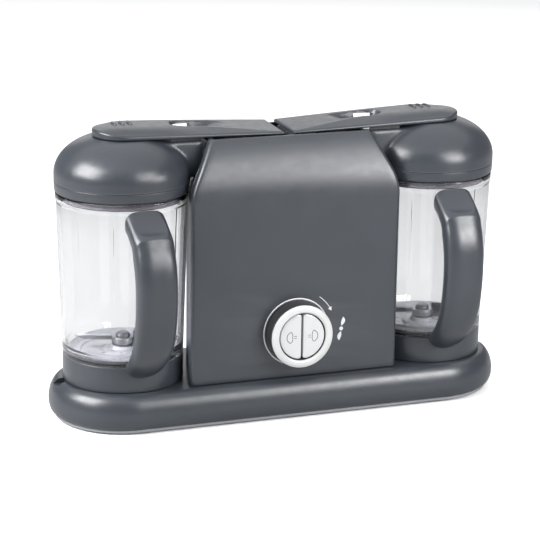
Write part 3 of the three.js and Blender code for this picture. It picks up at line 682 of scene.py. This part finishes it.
def make_rear_shell():
    upper_line = [(88, -38, 0), (85, -34.5, 3), (COLUMN_SIDE, -27, 5)]
    rows = softened_rows(PANEL_BOTTOM, REAR_TOP)
    shell = loft("rear_casing", [column_section(z, inset, upper_line) for z, inset in rows], slate)
    rows = softened_rows(PANEL_BOTTOM, CRADLE_TOP)
    cradle = loft("cradle", [column_section(z, inset, cradle_line()) for z, inset in rows], slate)
    cut(shell, cradle, operation="UNION")
    room = []
    for z in [PANEL_BOTTOM + 3, BEND_START, BEND_START + 8, BEND_END, 216, 224, REAR_TOP + 4]:
        half = min(COLUMN_SIDE, PANEL_HALF - taper(z)) - PANEL_WALL
        front = PANEL_FRONT - 5 + lean(z)
        back = REAR_BACK - lean(z) - PANEL_WALL
        outline = [(half, front, 0), (half, 29, 0), (55, back, 5)]
        outline += [(-x, y, r) for x, y, r in reversed(outline)]
        room.append([(x, y, z) for x, y in rounded(outline, 4)])
    cutters = [loft("room", room)]
    for i in range(-3, 4):
        left, right = (i * VENTS["pitch"] + way * VENTS["half"] for way in (-1, 1))
        outline = rectangle(left, VENTS["low"], right, VENTS["high"])
        slot = rounded([(x, z, VENTS["round"]) for x, z in outline])
        cutters.append(prism_y("vent", slot, 40, 60))
    hole = rectangle(0, -60, CORD["r"], -40)
    cutters.append(lathe_front("cord_hole", hole, closed=False, centre=(0, CORD["z"])))
    ring = [polar(PORT["r"], a, (0, PORT["z"])) for a in ring_angles(40)]
    for way in SIDES.values():
        ends = [way * (COLUMN_SIDE + reach) for reach in (-PORT["reach"], PORT["reach"])]
        cutters.append(loft("port", [[(x, y, z) for y, z in ring] for x in ends]))
    fit(cut(shell, *cutters), "root", "slate", "rear_shell")


def make_cord_gland():
    profile = rounded([(3.4, -42, 0.3), (6.1, -42, 0.3), (6.1, -49.3, 0), (9, -49.3, 0.2), (9, -52, 1.0),
                       (3.4, -52, 0.8)])
    gland = lathe_front("gland", profile, foot_rubber, 72, centre=(0, CORD["z"]))
    fit(gland, "root", "seal", "cord_gland")


# ---- Lid ----------------------------------------------------------------------------------------
ARM_UNDER = 236.8
ARM_RISE = 0.016
ARM_HALF = 24.3
SLOT = {"from": 73, "to": 92, "half": 9, "y": 8, "lip": 242}
DISH = {"from": 46, "to": 94, "half": 10.8}
RIDGES = {"places": (126, 132.5, 139), "front": 6, "back": 20}
DOME_LOW = RING_TOP + GAP
DOME_HIGH = 242
DOME_STEP = 209
DOME_POWER = 2.3
DOME_RISE_POWER = 1.9
DOME_ROOT = 0.476
DOME_WALL = 2.5
NECK_HALF = 23
NECK_TOP = 235.4
NECK_LOW = 206
NECK_POCKET = 227


def arm_under(x):
    return ARM_UNDER + (x - ARM_X) * ARM_RISE


def dome_field(x, y, z):
    """Below zero inside the dome joined to its neck; lengths in millimetres from the dome's axis."""
    r = hypot(x, y)
    climb = max(z + DOME_LOW - DOME_STEP, 0) / (DOME_HIGH - DOME_STEP)
    shape = ((r / LID_R) ** DOME_POWER + climb ** DOME_RISE_POWER) ** DOME_ROOT
    dome = (shape - 1) * LID_R
    edge = 1.8
    reach = (NECK_X - BOWL_X, 10)
    middle = ((reach[0] + reach[1]) / 2, 0, (NECK_LOW + NECK_TOP) / 2 - DOME_LOW)
    size = ((reach[1] - reach[0]) / 2, NECK_HALF, (NECK_TOP - NECK_LOW) / 2)
    q = [abs(c - m) - s + edge for c, m, s in zip((x, y, z), middle, size)]
    outside = sqrt(sum(max(v, 0) ** 2 for v in q))
    bar = outside + min(max(q), 0) - edge
    soft = 3.6
    h = min(max(0.5 + 0.5 * (bar - dome) / soft, 0), 1)
    return blend_between(bar, dome, h) - soft * h * (1 - h)


def dome_reach(direction):
    """Distance from the middle of the dome's mouth to its surface along a direction."""
    near, far = 20.0, 90.0
    for _ in range(24):
        half = (near + far) / 2
        if dome_field(*(c * half for c in direction)) < 0:
            near = half
        else:
            far = half
    return near


def dome_rows(columns, rows):
    """Rows of points up the outside of the dome and its neck, cut level under the arm."""
    outer = []
    for i in range(rows + 1):
        tilt = radians(90 * (1 - i / rows))
        row = []
        for a in ring_angles(columns):
            direction = (*polar(cos(tilt), a), sin(tilt))
            distance = dome_reach(direction)
            x, y, z = (c * distance for c in direction)
            top = arm_under(BOWL_X + x) - GAP - DOME_LOW
            if z > top:
                x, y, z = x * top / z, y * top / z, top
            row.append((x, y, z))
        outer.append(row)
    return outer


def make_domes():
    columns, rows = 256, 72
    outer = dome_rows(columns, rows)
    inner = []
    steps = 24
    inner_height = DOME_HIGH - DOME_WALL - DOME_LOW
    for i in range(steps + 1):
        t = radians(90 * i / steps)
        r = (LID_R - DOME_WALL) * cos(t) ** (2 / DOME_POWER) if i < steps else 0
        z = min(inner_height * sin(t) ** (2 / DOME_POWER), ARM_UNDER - DOME_LOW - 2)
        inner.append([(*polar(r, a), z) for a in ring_angles(columns)])
    points = [(BOWL_X + x, y, DOME_LOW + z) for row in outer + inner for x, y, z in row]
    dome = build("dome", points, grid_faces(len(outer) + len(inner), columns), slate, 40)
    pocket = rounded([(NECK_X - 5, 40, 0), (NECK_X - 5, -20, 0), (97, -20, 2), (97, 40, 0)])
    cut(dome, upright_prism("pocket", pocket, NECK_POCKET, 260), sharp=40)
    both_sides(dome, "dome_{}", "lid_{}", "slate", "lid_dome_{}")
    outline = rectangle(NECK_X + 0.4, -19.6, 101, -17.4)
    top = arm_under(NECK_X) - GAP
    screen = upright_prism("neck_screen", outline, NECK_POCKET - 0.2, top, slate_inside)
    both_sides(screen, "neck_screen_{}", "lid_{}", "slate")


def make_lid_rings():
    ring = rounded([(51, RING_BOTTOM, 0.5), (LID_R - 0.3, RING_BOTTOM, 1.4),
                    (LID_R, RING_TOP, 0.5), (51, RING_TOP, 0.3)])
    low, high = corners("lid_seal_right")
    seal = [(46.5, low.z, 0.8), (50.9, low.z, 0.8), (51.8, low.z + 1.2, 0.6), (50.6, low.z + 2.6, 0.5),
            (51.8, low.z + 4.2, 0.6), (51.4, RING_BOTTOM - GAP, 0.3), (50.6, RING_BOTTOM - GAP, 0),
            (50.6, high.z, 0.3), (46.5, high.z, 0.3)]
    for name, centre in BOWL_AXIS.items():
        skirt = lathe(f"skirt_{name}", ring, slate, centre, 192)
        fit(skirt, f"lid_{name}", "slate", f"lid_ring_{name}")
        gasket = lathe(f"gasket_{name}", rounded(seal), seal_rubber, centre)
        fit(gasket, f"lid_{name}", "seal", f"lid_seal_{name}")


def arm_crown(x):
    """Height of the arm's ridge line along its length."""
    peak = 140
    if x <= peak:
        return ARM_TOP - 6.6 * (1 - x / peak) ** 1.2
    return ARM_TOP - 1.0 * ((x - peak) / 21) ** 2


def arm_crease(x):
    """Where the facet behind meets the surface that falls to the front edge."""
    return min(-ARM_HALF + 0.3 + 0.305 * (x - ARM_X), 0)


def arm_height(x, y):
    crown = arm_crown(x)
    crease = arm_crease(x)
    tilt = 1.0 * (1 - smoothstep((x - ARM_X) / 80))
    behind = crown - tilt * (ARM_HALF - y) / (2 * ARM_HALF)
    outer = smoothstep((x - 62) / 55)
    if y >= crease:
        fall = smoothstep((x - 128) / 30) * (crown - 244) * max(0, y / ARM_HALF) ** 2.2
        return behind - fall - arm_dish(x, y)
    edge = 239.2 + 0.0268 * (x - ARM_X)
    start = crown - tilt * (ARM_HALF - crease) / (2 * ARM_HALF)
    across = (crease - y) / max(crease + ARM_HALF, 1e-6)
    fall = (start - edge) * across ** blend_between(1.0, 2.1, outer)
    return start - fall - arm_dish(x, y)


def arm_dish(x, y):
    """Depth of the finger recess below the surface round it."""
    low, high, half = DISH["from"], DISH["to"], DISH["half"]
    along = max(low + half - x, 0, x - (high - half))
    inside = half - hypot(along, y - SLOT["y"])
    if inside <= 0:
        return 0
    depth = 0.5 + 4.3 * smoothstep((x - low - 2) / 22)
    return depth * smoothstep(inside / 2.4)


def arm_edge_distance(x, y):
    outer = ARM_HALF - (hypot(x - BOWL_X, y) if x > BOWL_X else abs(y))
    return min(outer, x - ARM_X)


def edge_round(distance, radius):
    if distance >= radius:
        return 0
    return radius - sqrt(max(radius ** 2 - (radius - distance) ** 2, 0))


def arm_grid(rows, columns):
    """(x, y) points over the arm's plan, closer at its ends, with the middle row on the crease."""
    grid = []
    for i in range(rows):
        w = sin(pi / 2 * (2 * i / (rows - 1) - 1))
        end = BOWL_X + ARM_HALF * sqrt(max(1 - w * w, 0))
        line = []
        for j in range(columns):
            u = j / (columns - 1)
            x = ARM_X + (end - ARM_X) * (0.5 - 0.5 * cos(pi * u))
            crease = arm_crease(x)
            y = blend_between(-ARM_HALF, crease, 1 + w) if w < 0 else blend_between(crease, ARM_HALF, w)
            line.append((x, y))
        grid.append(line)
    return grid


def make_arms():
    rows, columns = 97, 121
    grid = arm_grid(rows, columns)
    top_edge, low_edge = 1.7, 1.3
    top, under = [], []
    for line in grid:
        for x, y in line:
            distance = arm_edge_distance(x, y)
            top.append((x, y, arm_height(x, y) - edge_round(distance, top_edge)))
            under.append((x, y, arm_under(x) + edge_round(distance, low_edge)))
    faces = grid_faces(rows, columns, close_columns=False)
    faces += grid_faces(rows, columns, close_columns=False, start=len(top))
    faces += border_faces(rows, columns)
    arm = build("arm", top + under, faces, slate, 28)
    slot = [(x, y + SLOT["y"]) for x, y in capsule(SLOT["from"], SLOT["to"], SLOT["half"])]
    left, right = SLOT["from"] + 0.5, SLOT["to"] - 0.5
    near = SLOT["y"] + SLOT["half"] - 3
    hollow = upright_prism("behind_slot", rectangle(left, near, right, 30), 220, SLOT["lip"])
    cut(arm, upright_prism("slot", slot, 220, 260), hollow, sharp=28)
    both_sides(arm, "arm_{}", "lid_{}", "slate", "lid_arm_{}")
    ridges = merged("ridges", [ridge(x) for x in RIDGES["places"]], slate)
    both_sides(ridges, "grip_ridges_{}", "lid_{}", "slate")
    for part, (front, back) in {"front": (-18.6, -3.4), "rear": (3.4, 18.6)}.items():
        both_sides(knuckle(front, back), "lid_knuckle_" + part + "_{}", "lid_{}", "slate")


def ridge(x):
    """A low bowed bar across the crown, for the thumb."""
    points = []
    steps, sides = 24, 12
    for i in range(steps + 1):
        t = i / steps
        y = blend_between(RIDGES["front"], RIDGES["back"], t)
        bow = 1.6 * (1 - (2 * t - 1) ** 2)
        swell = sqrt(max(1 - (2 * t - 1) ** 8, 0))
        for a in ring_angles(sides):
            px = x + bow + 1.4 * swell * cos(a)
            points.append((px, y, arm_height(px, y) + 1.25 * swell * sin(a)))
    faces = grid_faces(steps + 1, sides)
    faces += [tuple(range(sides)), tuple(range(steps * sides, (steps + 1) * sides))]
    return points, faces


def knuckle(front, back):
    """Hinge barrel hung from the arm."""
    r = 4.2
    outline = arc((HINGE_X, HINGE_Z), (r, r), 180, 360, 24)
    top = arm_under(HINGE_X) + 0.6
    outline += [(HINGE_X + r, top), (HINGE_X - 3, top), (HINGE_X - 3.4, HINGE_Z + 2.4)]
    return prism_y("knuckle", outline, front, back, slate)


# ---- Bowl ---------------------------------------------------------------------------------------
RIBS = (28, -38, 152, -142)


def bowl_profile():
    """Closed (radius, height) section of the wall and the floor."""
    outer = [(5.3, 49, 0.3), (8.5, 49, 0.3), (8.5, 54.2, 0.5), (20, 54.2, 0.4), (21, 55, 0.4), (30, 55, 0.4),
             (31, 54.2, 0.4), (47.4, 54.2, 0.5), (47.4, BAND_TOP + GAP, 0), (50.7, BAND_TOP + GAP, 0.5),
             (51.6, 90, 0), (54, 168, 0), (54.45, 186, 0), (55.0, 188, 0.4), (55.1, RIM_TOP, 0.6)]
    inner = [(52.6, RIM_TOP, 0.6), (52.2, 186.4, 0.5), (51.6, 184.6, 0.5), (51.4, 168, 0),
             (50.2, 129, 0), (49, 90, 0), (48.3, 66, 3), (45.4, 60.2, 2.5), (41.6, 57.6, 1.2),
             (38.4, 57.6, 0.4), (37.4, 58.5, 0.4), (35.6, 58.5, 0.4), (34.6, 57.6, 0.4),
             (18, 57.6, 0.6), (16, 59, 0.6), (11, 59, 0.8), (9.4, 61.5, 0.5), (5.3, 61.5, 0.4)]
    return rounded(outer + inner, 3)


def rib_height(angle, z):
    """How far the inner wall stands in where a rib runs down it."""
    fade = smoothstep((z - 118) / 40) * (1 - smoothstep((z - 181) / 3))
    reach = 0
    for middle in RIBS:
        away = abs((angle - middle + 180) % 360 - 180)
        reach = max(reach, 1.1 * (1 - smoothstep((away - 0.5) / 0.9)))
    return reach * fade


def bowl_angles():
    """Angles round the bowl, closer together at the ribs, measured from straight ahead."""
    plain = [i * 2.5 for i in range(144)]
    steps = [way * step for way in (-1, 1) for step in (0.4, 0.7, 1.1, 1.5)]
    extra = [(middle + step) % 360 for middle in RIBS for step in steps]
    return sorted(set(plain + extra))


def make_bowls():
    profile, angles = bowl_profile(), bowl_angles()
    for name, way in SIDES.items():
        turn = radians(-way * BOWL_TURN[name])
        axis = BOWL_AXIS[name]
        points = []
        for r, z in profile:
            for angle in angles:
                inner_wall = 48 < r < 51.9 and z > 100
                reach = r - (rib_height(angle, z) if inner_wall else 0)
                a = -pi / 2 + radians(way * angle) + turn
                points.append((*polar(reach, a, axis), z))
        faces = grid_faces(len(profile), len(angles), True)
        bowl = build(f"clear_bowl_{name}", points, faces, clear, 30)
        # The floor's faces get the opaque grey of painted light and shade instead of the clear plastic.
        bowl.data.materials.append(floor_painted_shading)
        for face in bowl.data.polygons:
            reach = hypot(face.center.x / MM - axis[0], face.center.y / MM - AXIS_Y)
            if 57 < face.center.z / MM < 62 and reach < 46:
                face.material_index = 1
        fit(bowl, f"bowl_unit_{name}", "clear", f"bowl_{name}")
        band = rounded([(47.8, DECK_Z + GAP, 0.3), (50.5, DECK_Z + GAP, 0.7), (50.5, BAND_TOP, 0.6),
                        (47.8, BAND_TOP, 0.3), (47.8, 53.9, 0), (44, 53.9, 0), (44, 51.5, 0), (47.8, 50, 0)])
        foot = lathe(f"band_{name}", band, slate, axis, 192)
        fit(foot, f"bowl_unit_{name}", "slate", f"bowl_band_{name}")


# ---- Handle -------------------------------------------------------------------------------------
def bezier(a, b, c, d, steps):
    points = []
    for i in range(steps + 1):
        t = i / steps
        weights = ((1 - t) ** 3, 3 * t * (1 - t) ** 2, 3 * t * t * (1 - t), t ** 3)
        points.append(tuple(sum(w * p[k] for w, p in zip(weights, (a, b, c, d))) for k in (0, 1)))
    return points


def resample(path, count):
    """Points at equal steps along a polyline."""
    lengths = [0]
    for p, q in zip(path, path[1:]):
        lengths.append(lengths[-1] + dist(p, q))
    result = []
    k = 0
    for i in range(count):
        target = lengths[-1] * i / (count - 1)
        while k < len(path) - 2 and lengths[k + 1] < target:
            k += 1
        span = lengths[k + 1] - lengths[k]
        t = (target - lengths[k]) / span if span else 0
        result.append(tuple(blend_between(path[k][c], path[k + 1][c], t) for c in (0, 1)))
    return result


HANDLE_HALF = 17
FACET_START = (54.5, 188.5)
FACET_END = (80, 172)
DIMPLE = 2.0


def handle_lines(count):
    """Front and back line of the grip seen from the side, as (distance in front, height)."""
    facet = rounded([(*FACET_START, 0), (*FACET_END, 1.5), (83.2, 165, 0)], 6, closed=False)
    front = facet + bezier((83.2, 165), (88.5, 154), (HANDLE_REACH, 143), (HANDLE_REACH, 128), 30)[1:]
    front += bezier((HANDLE_REACH, 128), (HANDLE_REACH, 96), (83, 63), (52.5, 47), 50)[1:]
    back = [(54.5, 165)] + bezier((56, 165), (68, 158), (75, 145), (75, 122), 30)
    back += bezier((75, 122), (75, 92), (66, 70), (52.5, 62), 40)[1:]
    return resample(front, count), resample(back, count)


def wall_radius(z):
    """Outside of the bowl or its band at a height."""
    if z < BAND_TOP + GAP:
        return 50.5
    return blend_between(50.7, 54.7, (z - BAND_TOP) / (RIM_TOP - BAND_TOP))


def handle_points():
    """Rings round the grip from the rim down to the band."""
    count, sides = 130, 72
    front, back = handle_lines(count)
    facet_mid = tuple((a + b) / 2 for a, b in zip(FACET_START, FACET_END))
    facet_length = dist(FACET_START, FACET_END)
    loops = []
    for i, (f, b) in enumerate(zip(front, back)):
        s = i / (count - 1)
        depth = dist(f, b)
        forward = ((f[0] - b[0]) / depth, (f[1] - b[1]) / depth)
        on_facet = 1 - smoothstep((s - 0.13) / 0.08)
        tail = smoothstep((s - 0.72) / 0.28)
        half = HANDLE_HALF - 0.8 * tail
        middle = depth * blend_between(blend_between(0.40, 0.52, on_facet), 0.2, tail)
        front_power = blend_between(blend_between(2.9, 3.0, on_facet), 2.2, tail)
        back_power = blend_between(3.6, 2.6, on_facet)
        down_facet = dist(f, facet_mid) / (facet_length * 0.46)
        crest = depth - DIMPLE * max(1 - down_facet ** 2, 0) ** 0.8 * on_facet
        loop = []
        for a in ring_angles(sides):
            c, n = cos(a), sin(a)
            power = front_power if c >= 0 else back_power
            reach = (depth - middle) if c >= 0 else middle
            along = middle + reach * copysign(abs(c) ** (2 / power), c)
            across = half * copysign(abs(n) ** (2 / power), n)
            along = soft_least(along, crest, 0.25)
            d = b[0] + forward[0] * along
            z = b[1] + forward[1] * along
            least = sqrt(max((wall_radius(z) + GAP) ** 2 - across ** 2, 0))
            loop.append((across, -max(d, least), z))
        loops.append(loop)
    return loops


def soft_least(a, b, width):
    """The smaller of two numbers, rounded over a width where they meet."""
    h = min(max(0.5 + 0.5 * (b - a) / width, 0), 1)
    return blend_between(b, a, h) - width * h * (1 - h)


def make_handles():
    loops = handle_points()
    for name, way in SIDES.items():
        turn = radians(-way * BOWL_TURN[name])
        placed = [[(*turned(x, y, turn, BOWL_AXIS[name]), z) for x, y, z in loop] for loop in loops]
        grip = loft(f"grip_{name}", placed, slate, sharp=60)
        fit(grip, f"bowl_unit_{name}", "slate", f"handle_{name}")


# ---- Blade --------------------------------------------------------------------------------------
BLADE_Z = 66.8
BLADE_TURN = -20
BLADE_PITCH = 34
BLADE_REACH = (8.4, 39.6)


def make_blades():
    hub = rounded([(0, 48, 0), (5, 48, 0.2), (5, 61.9, 0.3), (8.6, 61.9, 0.4), (8.6, 62.9, 0.3),
                   (6, 63.1, 0.3), (6, 70, 1.5), (4.2, 71.8, 1.2), (0, 71.8, 0)], closed=False)
    cup = rounded([(7.2, 36.5, 0.3), (10, 36.5, 0.5), (10, 48.5, 0.6), (0.2, 48.5, 0),
                   (0.2, 47.4, 0), (7.2, 47.4, 0.3)])
    collar = rounded([(6.3, 63.3, 0.2), (9, 63.3, 0.4), (9, 68.3, 0.4), (6.3, 68.3, 0.2)])
    for name, axis in BOWL_AXIS.items():
        body = f"blade_unit_{name}"
        boss = lathe(f"blade_boss_{name}", hub, slate, axis, 72, False)
        fit(boss, body, "slate", f"blade_hub_{name}")
        fit(lathe(f"drive_cup_{name}", cup, slate_inside, axis, 48), body, "slate")
        fit(lathe(f"blade_collar_{name}", collar, blade_steel, axis, 72), body, "steel")
        wings = merged(f"blade_wings_{name}", [wing(axis, turn) for turn in (0, 180)], blade_steel)
        fit(wings, body, "steel", f"blade_{name}")


def wing(axis, turn):
    """A pitched wing with a curved, ground cutting edge."""
    steps, across = 22, 9
    heading = radians(turn + BLADE_TURN)
    pitch = radians(BLADE_PITCH)
    top, under = [], []
    for i in range(steps + 1):
        u = i / steps
        reach = blend_between(*BLADE_REACH, u)
        tip = smoothstep((u - 0.65) / 0.35)
        lead = blend_between(-6.9, 5.0, tip ** 2)
        trail = 6.9 - 0.7 * tip
        for j in range(across + 1):
            v = j / across
            chord = blend_between(lead, trail, v)
            thick = 0.7 * smoothstep(v / 0.35 + 0.06)
            for shell, lift in ((top, thick), (under, -thick)):
                y, z = turned(chord, lift, pitch)
                shell.append((*turned(reach, y, heading, axis), BLADE_Z + z))
    rows, columns = steps + 1, across + 1
    faces = grid_faces(rows, columns, close_columns=False)
    faces += grid_faces(rows, columns, close_columns=False, start=len(top))
    faces += border_faces(rows, columns)
    return top + under, faces


# ---- Controls -----------------------------------------------------------------------------------
def make_knob():
    front = -PANEL_FRONT
    bezel = rounded([(20.2, front - 5, 0.2), (21.3, front - 5, 0), (21.3, front + 0.1, 0),
                     (29, front + 0.1, 0.1), (29, front + 0.5, 0.3), (27.9, front + 0.9, 0.3),
                     (21.4, front + 0.9, 0), (21.3, 61.5, 0), (20.2, 61.5, 0.2)])
    fit(lathe_front("bezel", bezel, icon_grey, 192), "root", "trim", "knob_bezel")
    line = rounded([(28.2, front + 0.2, 0.1), (29.1, front + 0.2, 0.1), (29.1, front + 0.75, 0.2),
                    (28.2, front + 0.95, 0.2)], 2)
    fit(lathe_front("bezel_line", line, print_white, 192), "root", "trim")
    face = KNOB_FACE
    r = KNOB_R
    skirt = rounded([(21.7, front + 2, 0), (r - 1, front + 2, 0.5), (r, front + 3.4, 0.6),
                     (r - 0.3, face - 3.3, 0.4), (r - 0.8, face - 2.9, 0.1), (20.5, face - 2.9, 0),
                     (20.5, face - 2.2, 0.1),
                     (20.25, face - 2.2, 0.1), (20.25, face - 4.2, 0), (21.7, face - 4.4, 0)], 5)
    fit(lathe_front("knob_skirt", skirt, slate_inside, 192), "knob", "slate")
    ring = rounded([(20.6, face - 2.6, 0), (r - 0.4, face - 2.6, 0.3), (r - 0.6, face - 1.5, 0.8),
                    (r - 2.6, face - 0.4, 2.0), (r - 5.4, face, 1.0), (20.6, face - 0.9, 0.4)], 5)
    fit(lathe_front("knob_rim", ring, white_gloss, 192), "knob", "gloss", "knob_ring")


def half_disc(way, scale=1.0):
    """Outline of a half-round button, drawn in towards its middle by a scale."""
    r = BUTTON_R
    limit = degrees(acos(BUTTON_SPLIT / r))
    corner = 1.6
    end = sqrt(r * r - BUTTON_SPLIT ** 2)
    outline = arc((0, 0), (r, r), -limit, limit, 40)[2:39]
    outline += [(BUTTON_SPLIT + 0.35, end - corner * 0.5), (BUTTON_SPLIT, end - corner)]
    outline += [(BUTTON_SPLIT, y) for y in (12, 6, 0, -6, -12)]
    outline += [(BUTTON_SPLIT, -end + corner), (BUTTON_SPLIT + 0.35, -end + corner * 0.5)]
    middle = 8.6
    return [(way * (middle + (x - middle) * scale), y * scale) for x, y in outline]


def make_buttons():
    for name, way in SIDES.items():
        rows = [(1, BUTTON_BACK), (1, BUTTON_FACE - 0.9), (0.985, BUTTON_FACE - 0.45),
                (0.955, BUTTON_FACE - 0.2), (0.9, BUTTON_FACE - 0.08), (0.6, BUTTON_FACE - 0.02),
                (0.3, BUTTON_FACE)]
        loops = [[(x, -depth, KNOB_Z + z) for x, z in half_disc(way, scale)] for scale, depth in rows]
        cap = loft(f"button_cap_{name}", loops, white_gloss)
        low, high = corners(f"button_spring_{name}")
        r = (high.z - low.z) / 2 + GAP
        seat = rectangle(0, BUTTON_BACK - 1, r, BUTTON_BACK + 2.4)
        centre = ((low.x + high.x) / 2, (low.z + high.z) / 2)
        cut(cap, lathe_front("spring_seat", seat, segments=48, closed=False, centre=centre))
        fit(cap, f"button_{name}", "gloss", f"steam_button_{name}")
        icon = merged(f"steam_icon_{name}", steam_icon(way), icon_grey)
        fit(icon, f"button_{name}", "board")


PRINT_PROUD = 0.12
PRINT_SUNK = -0.05


def line_strip(path, half, depth, closed=False):
    """A printed line standing just off a plane in front of the machine."""
    points = []
    count = len(path)
    for i, (x, z) in enumerate(path):
        before = path[i - 1] if i or closed else path[0]
        after = path[(i + 1) % count] if i + 1 < count or closed else path[-1]
        run = Vector((after[0] - before[0], after[1] - before[1])).normalized()
        side = (-run.y * half, run.x * half)
        for share, out in ((1, PRINT_SUNK), (0.8, PRINT_PROUD), (-0.8, PRINT_PROUD), (-1, PRINT_SUNK)):
            points.append((x + side[0] * share, -depth - out, z + side[1] * share))
    faces = grid_faces(count, 4, close_rows=closed)
    if not closed:
        faces += [(0, 1, 2, 3), tuple(4 * (count - 1) + k for k in range(4))]
    return points, faces


def flat_mark(outline, depth):
    """A printed shape standing just off a plane in front of the machine."""
    count = len(outline)
    points = [(x, -depth - out, z) for out in (PRINT_SUNK, PRINT_PROUD) for x, z in outline]
    faces = grid_faces(2, count) + [tuple(range(count)), tuple(range(count, 2 * count))]
    return points, faces


def steam_icon(way):
    """A puff of three lobes with two short jets beside it, pointing to its own bowl."""
    cx, cz = 9.9, KNOB_Z
    puff = []
    for a in ring_angles(48):
        lobe = 2.25 + 0.55 * abs(cos(1.5 * a))
        puff.append((way * (cx + 1.0 + 0.98 * lobe * cos(a)), cz + 1.75 * lobe * sin(a)))
    parts = [line_strip(puff, 0.27, BUTTON_FACE, closed=True)]
    for z in (-0.9, 0.9):
        jet = [(way * (cx - 4.9), cz + z), (way * (cx - 2.7), cz + z)]
        parts.append(line_strip(jet, 0.24, BUTTON_FACE))
    return parts


def make_panel_prints():
    """An arrow round the knob and a two-leaf sign below it."""
    depth = -PANEL_FRONT
    radius = 35
    centre = (0, KNOB_Z)
    head = [polar(radius, radians(26), centre)]
    head += [polar(reach, radians(31.5), centre) for reach in (radius + 1.7, radius - 1.7)]
    parts = [line_strip(arc(centre, (radius, radius), 54, 31, 24), 0.32, depth), flat_mark(head, depth)]
    middle = (40.6, 72.4)
    parts.append(flat_mark([polar(1.7, a, middle) for a in ring_angles(24)], depth))
    steps = [i / 16 for i in range(17)]
    leaf = [(0.4 + 2.3 * sin(pi * t) ** 0.8 + 1.2 * t, 2.6 + 7.6 * t) for t in steps]
    leaf += [(1.6 * t - 0.9 * sin(pi * t), 2.6 + 7.6 * t) for t in reversed(steps)]
    for turn in (1, -1):
        outline = [(middle[0] + turn * x, middle[1] + turn * z) for x, z in leaf]
        parts.append(flat_mark(outline, depth))
    fit(merged("panel_prints", parts, print_white), "root", "gloss")


# ---- Stage --------------------------------------------------------------------------------------
def make_floor():
    size = 9.0
    mesh = bpy.data.meshes.new("floor")
    square = [(x, y, 0) for x, y in rectangle(-size, -size, size, size)]
    mesh.from_pydata(square, [], [(0, 1, 2, 3)])
    surface = Surface("floor_pale", 0.6)
    tone = surface.cloud(surface.noise(1.5, 2), (0.93, 0.93, 0.93), (0.95, 0.95, 0.95))
    path = surface.node("LightPath")
    bounced = surface.node("Math")
    bounced.operation = "MAXIMUM"
    surface.link(path.outputs["Is Diffuse Ray"], bounced.inputs[0])
    surface.link(path.outputs["Is Glossy Ray"], bounced.inputs[1])
    surface.colour(surface.mix(bounced.outputs["Value"], tone, (0.45, 0.455, 0.46)))
    mesh.materials.append(surface.material)
    add_object("floor", mesh)


def area_light(name, place, target, size, power):
    light = bpy.data.lights.new(name, "AREA")
    light.shape = "RECTANGLE"
    light.size, light.size_y = size
    light.energy = power
    obj = add_object(name, light)
    obj.location = place
    obj.rotation_euler = (Vector(target) - Vector(place)).to_track_quat("-Z", "Y").to_euler()


def make_lights():
    world = bpy.data.worlds.new("studio")
    bpy.context.scene.world = world
    world.use_nodes = True
    nodes, links = world.node_tree.nodes, world.node_tree.links
    soft = nodes["Background"]
    soft.inputs["Color"].default_value = (0.97, 0.985, 1, 1)
    soft.inputs["Strength"].default_value = 0.24
    white = nodes.new("ShaderNodeBackground")
    white.inputs["Color"].default_value = (1, 1, 1, 1)
    path = nodes.new("ShaderNodeLightPath")
    mixer = nodes.new("ShaderNodeMixShader")
    links.new(path.outputs["Is Camera Ray"], mixer.inputs[0])
    links.new(soft.outputs["Background"], mixer.inputs[1])
    links.new(white.outputs["Background"], mixer.inputs[2])
    links.new(mixer.outputs["Shader"], nodes["World Output"].inputs["Surface"])
    area_light("left_softbox", (-1.15, -0.12, 0.84), (-0.1, 0, 0.15), (0.9, 0.7), 40)
    area_light("right_softbox", (0.34, -0.42, 0.30), (0, 0, 0.17), (0.22, 0.18), 1.4)
    area_light("front_softbox", (0.86, -1.72, 1.04), (0, 0, 0.15), (1.1, 1.0), 33)
    area_light("rear_softbox", (0.72, 2.0, 0.80), (0, 0, 0.2), (2.0, 0.9), 5.5)
    sky = bpy.data.lights.new("overhead", "SUN")
    sky.energy = 2.1
    sky.angle = radians(100)
    add_object("overhead", sky)


def make_camera():
    """Long lens from the front left, a little above."""
    yaw, pitch, roll = (radians(a) for a in (19.78, 15.93, 0.83))
    forward = Vector((sin(yaw) * cos(pitch), cos(yaw) * cos(pitch), -sin(pitch)))
    level = Vector((cos(yaw), -sin(yaw), 0))
    upward = level.cross(forward)
    right = cos(roll) * level + sin(roll) * upward
    up = -sin(roll) * level + cos(roll) * upward
    data = bpy.data.cameras.new("camera")
    data.lens = 137.2
    data.sensor_width = 36
    data.clip_end = 50
    camera = add_object("camera", data)
    turn = Matrix((right, up, -forward)).transposed()
    place = to_frame((-577.1, -1587.2, 595.5))
    camera.matrix_world = Matrix.Translation(place) @ turn.to_4x4()
    bpy.context.scene.camera = camera
    bpy.context.scene.view_settings.view_transform = "Standard"


make_camera()
make_lights()
make_floor()
finish_cad_nodes()
make_base()
make_base_plate()
make_feet()
make_front_panel()
make_rear_shell()
make_cord_gland()
make_domes()
make_lid_rings()
make_arms()
make_bowls()
make_handles()
make_blades()
make_knob()
make_buttons()
make_panel_prints()
